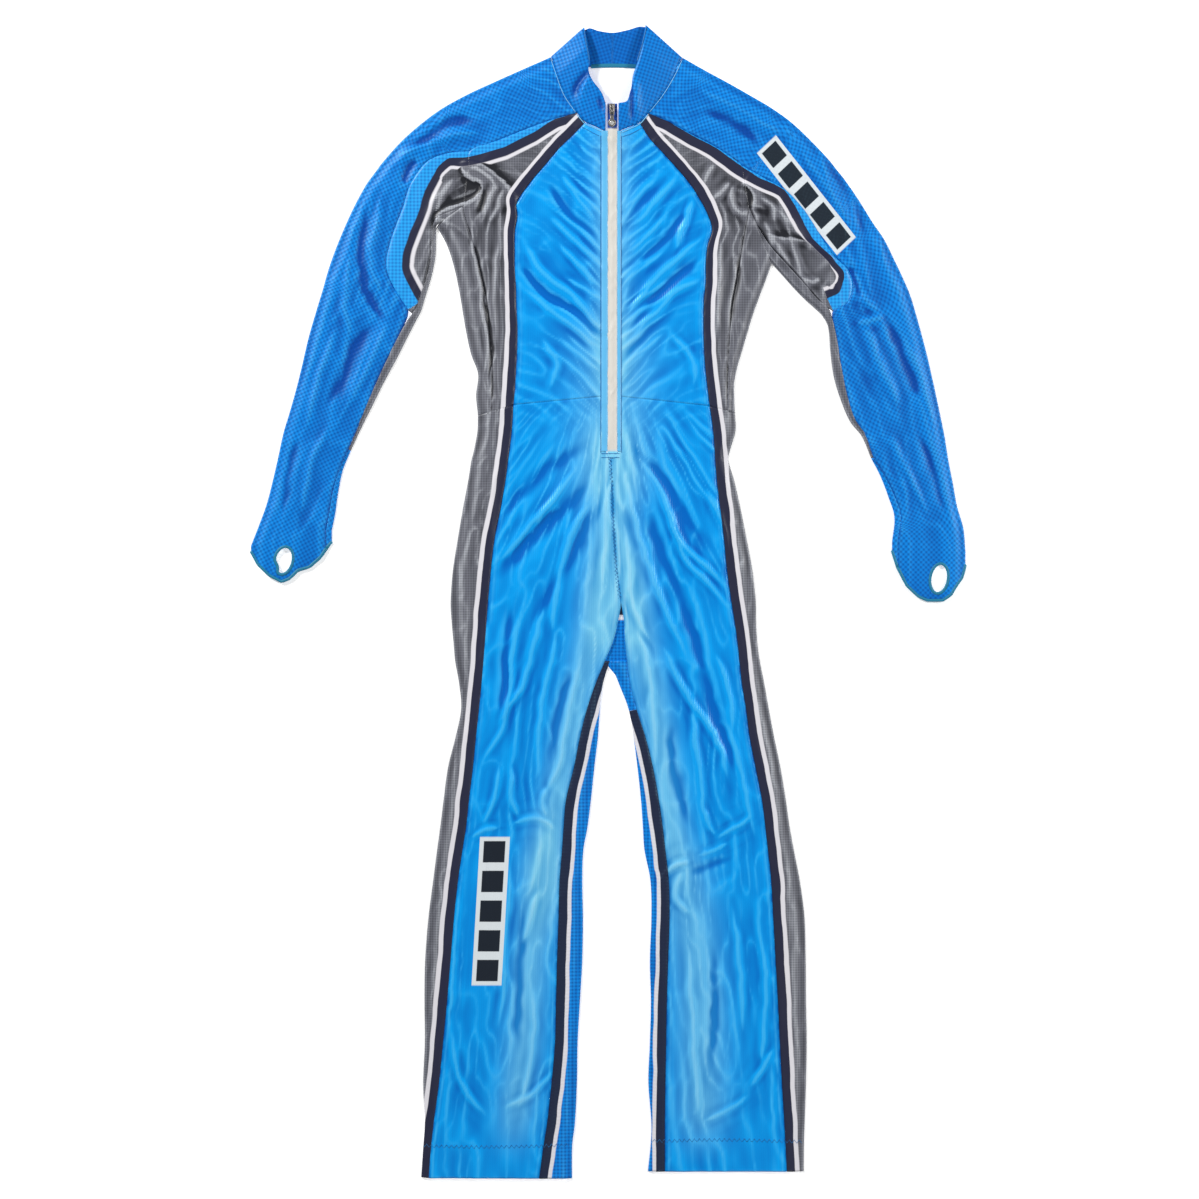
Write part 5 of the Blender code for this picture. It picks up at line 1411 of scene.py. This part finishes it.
def attribute(tree, name):
    return node(tree, "Attribute", {"attribute_name": name})


# 1 where the value is under the limit, softened over `soft`: clamp((limit - value) / soft + 0.5).
def under(tree, value, limit, soft):
    away = math1(tree, "SUBTRACT", limit, value)
    return math1(tree, "ADD", math1(tree, "DIVIDE", away, soft), 0.5, True)


def weaveAxes(tree):
    place = node(tree, "UVMap", {"uv_map": "weave"})
    split = node(tree, "SeparateXYZ", (), Vector=place.outputs[0])
    return split.outputs[0], split.outputs[1]


# Wave of one thread direction: 0.5 + 0.5 cos(2 pi place / pitch).
def wave(tree, place, pitch, phase=0.0):
    turned = math1(tree, "COSINE", math1(tree, "ADD", math1(tree, "MULTIPLY", place, 2 * math.pi / pitch), phase))
    return math1(tree, "ADD", math1(tree, "MULTIPLY", turned, 0.5), 0.5)


def finishCloth(tree, base, height, rough=0.34, tint=(0.4, 0.78, 1, 1), bump=0.0003, glow=0.0):
    shader = node(tree, "BsdfPrincipled", {
        "Roughness": rough, "Specular IOR Level": 0.5, "Specular Tint": tint, "Emission Strength": glow,
        "Emission Color": (1, 1, 1, 1)})
    if isinstance(base, tuple):
        shader.inputs["Base Color"].default_value = base
    else:
        tree.links.new(base, shader.inputs["Base Color"])
    if height is not None:
        relief = node(tree, "Bump", {"Strength": 1.0, "Distance": bump}, Height=height)
        tree.links.new(relief.outputs[0], shader.inputs["Normal"])
    out = node(tree, "OutputMaterial", (), Surface=shader.outputs[0])
    return out


# The deep tones of azure, pale, check and grey are painted shade for the fold troughs, and the ridge tones are painted
# highlight for the crests; the deep azure also tones the ribs, the deep check blue also colours the zip tape's hidden
# top, and the deep grey also colours the grey knit's dots.
tones = {
    "azure": "#08a6f8", "azureRibAndShade": "#0068c6", "azureHighlight": "#4cc6ff", "pale": "#80d4f6", "paleShade": "#2d98d8",
    "paleHighlight": "#b4ecff", "check": "#0a90f0", "checkDarkAndShade": "#0048a8",
    "checkHighlight": "#40b4fa", "checkDot": "#003c90", "margin": "#22acfa", "marginDot": "#0460b8",
    "grey": "#767882", "greyDotAndShade": "#181a22", "greyHighlight": "#ccd0d8", "navy": "#23263f",
    "white": "#e4e2e8", "teal": "#137a9c", "zip": "#dcd8d0", "zipLine": "#4a9ad0", "metal": "#8e8a84", "metalBright": "#f2f2ee",
    "glowingReverse": "#fcfcff", "patch": "#dfe6ea", "patchBar": "#22252e", "floor": "#ffffff", "paleThread": "#7cc4ee", "blueThread": "#2474b4", "welt": "#62bdf0",
}
tones = {key: colour(value) for key, value in tones.items()}


# Satin tone with painted shade and painted highlight: mix(base, trough shade, painted shade x share + rest), then
# mix(that, ridge highlight, painted highlight on the crests x share).
def satinTone(tree, base, trough, ridge, deepShare, crestShare, rest=0.25):
    deep = attribute(tree, "deep").outputs["Fac"]
    deep = math1(tree, "ADD", math1(tree, "MULTIPLY", deep, deepShare), rest, True)
    crest = math1(tree, "MULTIPLY", attribute(tree, "crest").outputs["Fac"], crestShare, True)
    return mixColour(tree, crest, mixColour(tree, deep, base, trough), ridge)


# Azure rib knit: azure to pale by the glow, with painted shade in the troughs and painted highlight on the crests;
# ribs run down the cloth.
def azureKnit():
    made, tree = newMaterial("azure rib knit")
    x, y = weaveAxes(tree)
    glow = attribute(tree, "glow").outputs["Fac"]
    base = satinTone(tree, tones["azure"], tones["azureRibAndShade"], tones["azureHighlight"], 1.0, 0.6)
    light = satinTone(tree, tones["pale"], tones["paleShade"], tones["paleHighlight"], 0.9, 0.4)
    base = mixColour(tree, glow, base, light)
    rib = wave(tree, x, 0.0028)
    base = mixColour(tree, math1(tree, "MULTIPLY", rib, 0.10), base, tones["azureRibAndShade"])
    patch = node(tree, "SeparateXYZ", (), Vector=attribute(tree, "patch").outputs["Vector"])
    inside = math1(tree, "MULTIPLY", window(tree, patch.outputs[0]), window(tree, patch.outputs[1]))
    base = mixColour(tree, inside, base, patchColour(tree, patch.outputs[0], patch.outputs[1]))
    finishCloth(tree, base, rib, bump=0.00008)
    return made


# 1 between 0 and 1 of a patch's own place.
def window(tree, value):
    away = math1(tree, "ABSOLUTE", math1(tree, "SUBTRACT", value, 0.5))
    return under(tree, away, 0.5, 0.01)


# Plain bars over a white ground: five blocks along the patch.
def patchColour(tree, along, across):
    block = math1(tree, "ABSOLUTE", math1(tree, "SUBTRACT", math1(tree, "FRACT", math1(tree, "MULTIPLY", along, 5.0)), 0.5))
    bar = math1(tree, "MULTIPLY", under(tree, block, 0.36, 0.02),
                under(tree, math1(tree, "ABSOLUTE", math1(tree, "SUBTRACT", across, 0.5)), 0.36, 0.02))
    return mixColour(tree, bar, tones["patch"], tones["patchBar"])


# Bands of the print: navy, then white; after a margin where there is one.
def withBands(tree, base, field, margin, soft=0.06):
    edges = node(tree, "SeparateXYZ", (), Vector=attribute(tree, field).outputs["Vector"])
    one, two, three = edges.outputs
    if margin is None:
        base = mixColour(tree, under(tree, two, 1.0, soft), base, tones["white"])
        return mixColour(tree, under(tree, one, 1.0, soft), base, tones["navy"])
    base = mixColour(tree, under(tree, three, 1.0, soft), base, tones["white"])
    base = mixColour(tree, under(tree, two, 1.0, soft), base, tones["navy"])
    return mixColour(tree, under(tree, one, 1.0, soft), base, margin)


# Check of the knit: dark lines both ways, darkest where they meet: (wave(x) + wave(y)) / 2.
def checkDots(tree, pitch):
    x, y = weaveAxes(tree)
    return math1(tree, "MULTIPLY", math1(tree, "ADD", wave(tree, x, pitch), wave(tree, y, pitch)), 0.5)


def checked(tree, base, dark, dots, most=0.75):
    return mixColour(tree, math1(tree, "MULTIPLY", math1(tree, "POWER", dots, 1.3), most), base, dark)


def checkKnit():
    made, tree = newMaterial("check knit")
    dots = checkDots(tree, plan["check"])
    base = satinTone(tree, tones["check"], tones["checkDarkAndShade"], tones["checkHighlight"], 1.0, 0.5, 0.2)
    base = checked(tree, base, tones["checkDot"], dots)
    base = withBands(tree, base, "inner", None)
    patch = node(tree, "SeparateXYZ", (), Vector=attribute(tree, "patch").outputs["Vector"])
    inside = math1(tree, "MULTIPLY", window(tree, patch.outputs[0]), window(tree, patch.outputs[1]))
    base = mixColour(tree, inside, base, patchColour(tree, patch.outputs[0], patch.outputs[1]))
    finishCloth(tree, base, dots, rough=0.45, bump=0.0002)
    return made


def greyKnit():
    made, tree = newMaterial("grey knit")
    base = satinTone(tree, tones["grey"], tones["greyDotAndShade"], tones["greyHighlight"], 1.15, 0.7, 0.15)
    base = checked(tree, base, tones["greyDotAndShade"], checkDots(tree, plan["twill"]), 0.55)
    margin = checked(tree, tones["margin"], tones["marginDot"], checkDots(tree, plan["check"]))
    base = withBands(tree, base, "outer", margin)
    base = withBands(tree, base, "inner", None)
    finishCloth(tree, base, None, rough=0.42, tint=(1, 1, 1, 1))
    return made


def plainCloth(name, tone, rough=0.6, glow=0.0):
    made, tree = newMaterial(name)
    finishCloth(tree, tone, None, rough=rough, tint=(1, 1, 1, 1), glow=glow)
    return made


# Zip tape: off-white, blue where the slider hides it under the collar's edges, and pale azure past its end.
def zipKnit():
    made, tree = newMaterial("zip coil and tape")
    covered = attribute(tree, "covered").outputs["Fac"]
    base = mixColour(tree, covered, tones["zip"], tones["checkDarkAndShade"])
    base = mixColour(tree, attribute(tree, "ended").outputs["Fac"], base, tones["pale"])
    finishCloth(tree, base, None, 0.5, (1, 1, 1, 1))
    return made


def metal(name, tone):
    made, tree = newMaterial(name)
    shader = node(tree, "BsdfPrincipled", {"Base Color": tone, "Metallic": 0.6, "Roughness": 0.32})
    node(tree, "OutputMaterial", (), Surface=shader.outputs[0])
    return made


azure, check, grey = azureKnit(), checkKnit(), greyKnit()
teal = plainCloth("teal binding", tones["teal"], 0.55)
# Painted light: the off-white reverse glows with emission 0.3.
glowingReverse = plainCloth("off-white reverse", tones["glowingReverse"], 0.7, 0.3)
zipCloth = zipKnit()
paleThread = plainCloth("pale blue thread", tones["paleThread"], 0.5)
blueThread = plainCloth("blue thread", tones["blueThread"], 0.5)
weltCloth = plainCloth("pale azure welt", tones["welt"], 0.4)
greyMetal, brightMetal = metal("grey metal", tones["metal"]), metal("bright metal", tones["metalBright"])


def wear(piece, *materials):
    piece.data.materials.clear()
    for material in materials:
        piece.data.materials.append(material)


def thicken(piece, thickness):
    wall = piece.modifiers.new("wall", "SOLIDIFY")
    wall.thickness, wall.offset, wall.material_offset, wall.material_offset_rim = thickness, -1, 1, 0


outerLook = {"frontBody": azure, "sidePanel": grey, "gore": grey, "sleeve": check, "legFront": azure,
             "legSide": grey, "legBack": check}
nodesOf = {
    "frontBody": ["front_body_"], "sidePanel": ["side_front_", "side_back_"],
    "gore": ["underarm_front_", "underarm_back_"], "sleeve": ["sleeve_", "cuff_"],
    "legFront": ["front_leg_"], "legSide": ["side_leg_"], "legBack": ["back_leg_"],
    "cuffEdge": ["cuff_X_edge"], "thumbEdge": ["cuff_X_thumb_edge"],
}
for word, side in sides.items():
    for key, piece in side["pieces"].items():
        if key in outerLook:
            wear(piece, outerLook[key], glowingReverse)
            thicken(piece, plan["cloth"])
        else:
            wear(piece, teal)
        nodes = [n.replace("X", side["mark"]) if "X" in n else n + side["mark"] for n in nodesOf[key]]
        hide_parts(*nodes)
        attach(piece, "suit")
for piece, looks, nodes in ((backBody, (check, glowingReverse), ["back_body"]), (collar, (check, check), ["collar"]),
                            (tape, (zipCloth, zipCloth), ["zip_strip"])):
    wear(piece, *looks)
    thicken(piece, plan["cloth"])
    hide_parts(*nodes)
    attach(piece, "suit")
for piece, material in ((sewing["paleThread"]["piece"], paleThread), (sewing["blueThread"]["piece"], blueThread),
                        (welt, weltCloth), (neckTape, teal)):
    wear(piece, material)
    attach(piece, "suit")
wear(slider, greyMetal)
wear(tab, greyMetal, brightMetal)
for face in tab.data.polygons[tab["plain"]:]:
    face.material_index = 1
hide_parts("zip_slider")
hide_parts("pull_tab")
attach(slider, "suit")
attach(tab, "tab")

# Floor, light and camera
print("stage")
floorMesh = bpy.data.meshes.new("floor")
floorMesh.from_pydata([(-6, -6, 0), (6, -6, 0), (6, 6, 0), (-6, 6, 0)], [], [(0, 1, 2, 3)])
floor = bpy.data.objects.new("floor", floorMesh)
bpy.context.collection.objects.link(floor)
floor.location = (0, 0, -0.0002)
floorLook, tree = newMaterial("white floor")
shader = node(tree, "BsdfPrincipled", {"Base Color": tones["floor"], "Roughness": 0.9, "Specular IOR Level": 0.1,
                                       "Emission Color": tones["floor"], "Emission Strength": 0.35})
node(tree, "OutputMaterial", (), Surface=shader.outputs[0])
wear(floor, floorLook)

# For each cut piece, the piece it lies on and the pieces along its edges are picked out; nothing is made from them.
for word, side in sides.items():
    for key, piece in side["pieces"].items():
        if key not in outerLook:
            continue
        under = {"frontBody": backBody, "legFront": side["pieces"]["legBack"]}.get(key, floor)
        edges = [side["pieces"]["cuffEdge"], side["pieces"]["thumbEdge"]] if key == "sleeve" else []
for piece, under, edges in ((backBody, floor, []), (collar, backBody, [neckTape]),
                            (tape, sides["Right"]["pieces"]["frontBody"], [welt])):
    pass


def areaLight(name, place, size, power, tint=(1, 1, 1)):
    data = bpy.data.lights.new(name, "AREA")
    data.shape, data.size, data.size_y, data.energy, data.color = "RECTANGLE", size[0], size[1], power, tint
    made = bpy.data.objects.new(name, data)
    bpy.context.collection.objects.link(made)
    made.location = place
    made.rotation_euler = Vector([-c for c in place]).to_track_quat("-Z", "Y").to_euler()
    return made


areaLight("keyLeft", (-2.6, 2.4, 2.2), (0.8, 0.8), 150)
areaLight("keyRight", (2.8, 0.8, 2.2), (0.8, 0.8), 70)
areaLight("low", (0.4, -3.2, 2.6), (1.2, 1.2), 30)

scene = bpy.context.scene
world = bpy.data.worlds.new("studio")
scene.world = world
world.use_nodes = True
world.node_tree.nodes["Background"].inputs[0].default_value = (1, 1, 1, 1)
world.node_tree.nodes["Background"].inputs[1].default_value = 0.12
scene.view_settings.view_transform = "Standard"

cameraData = bpy.data.cameras.new("camera")
cameraData.lens, cameraData.sensor_width = 85, 36
camera = bpy.data.objects.new("camera", cameraData)
bpy.context.collection.objects.link(camera)
camera.location = (-0.0109, 0.0025, 3.545)
scene.camera = camera
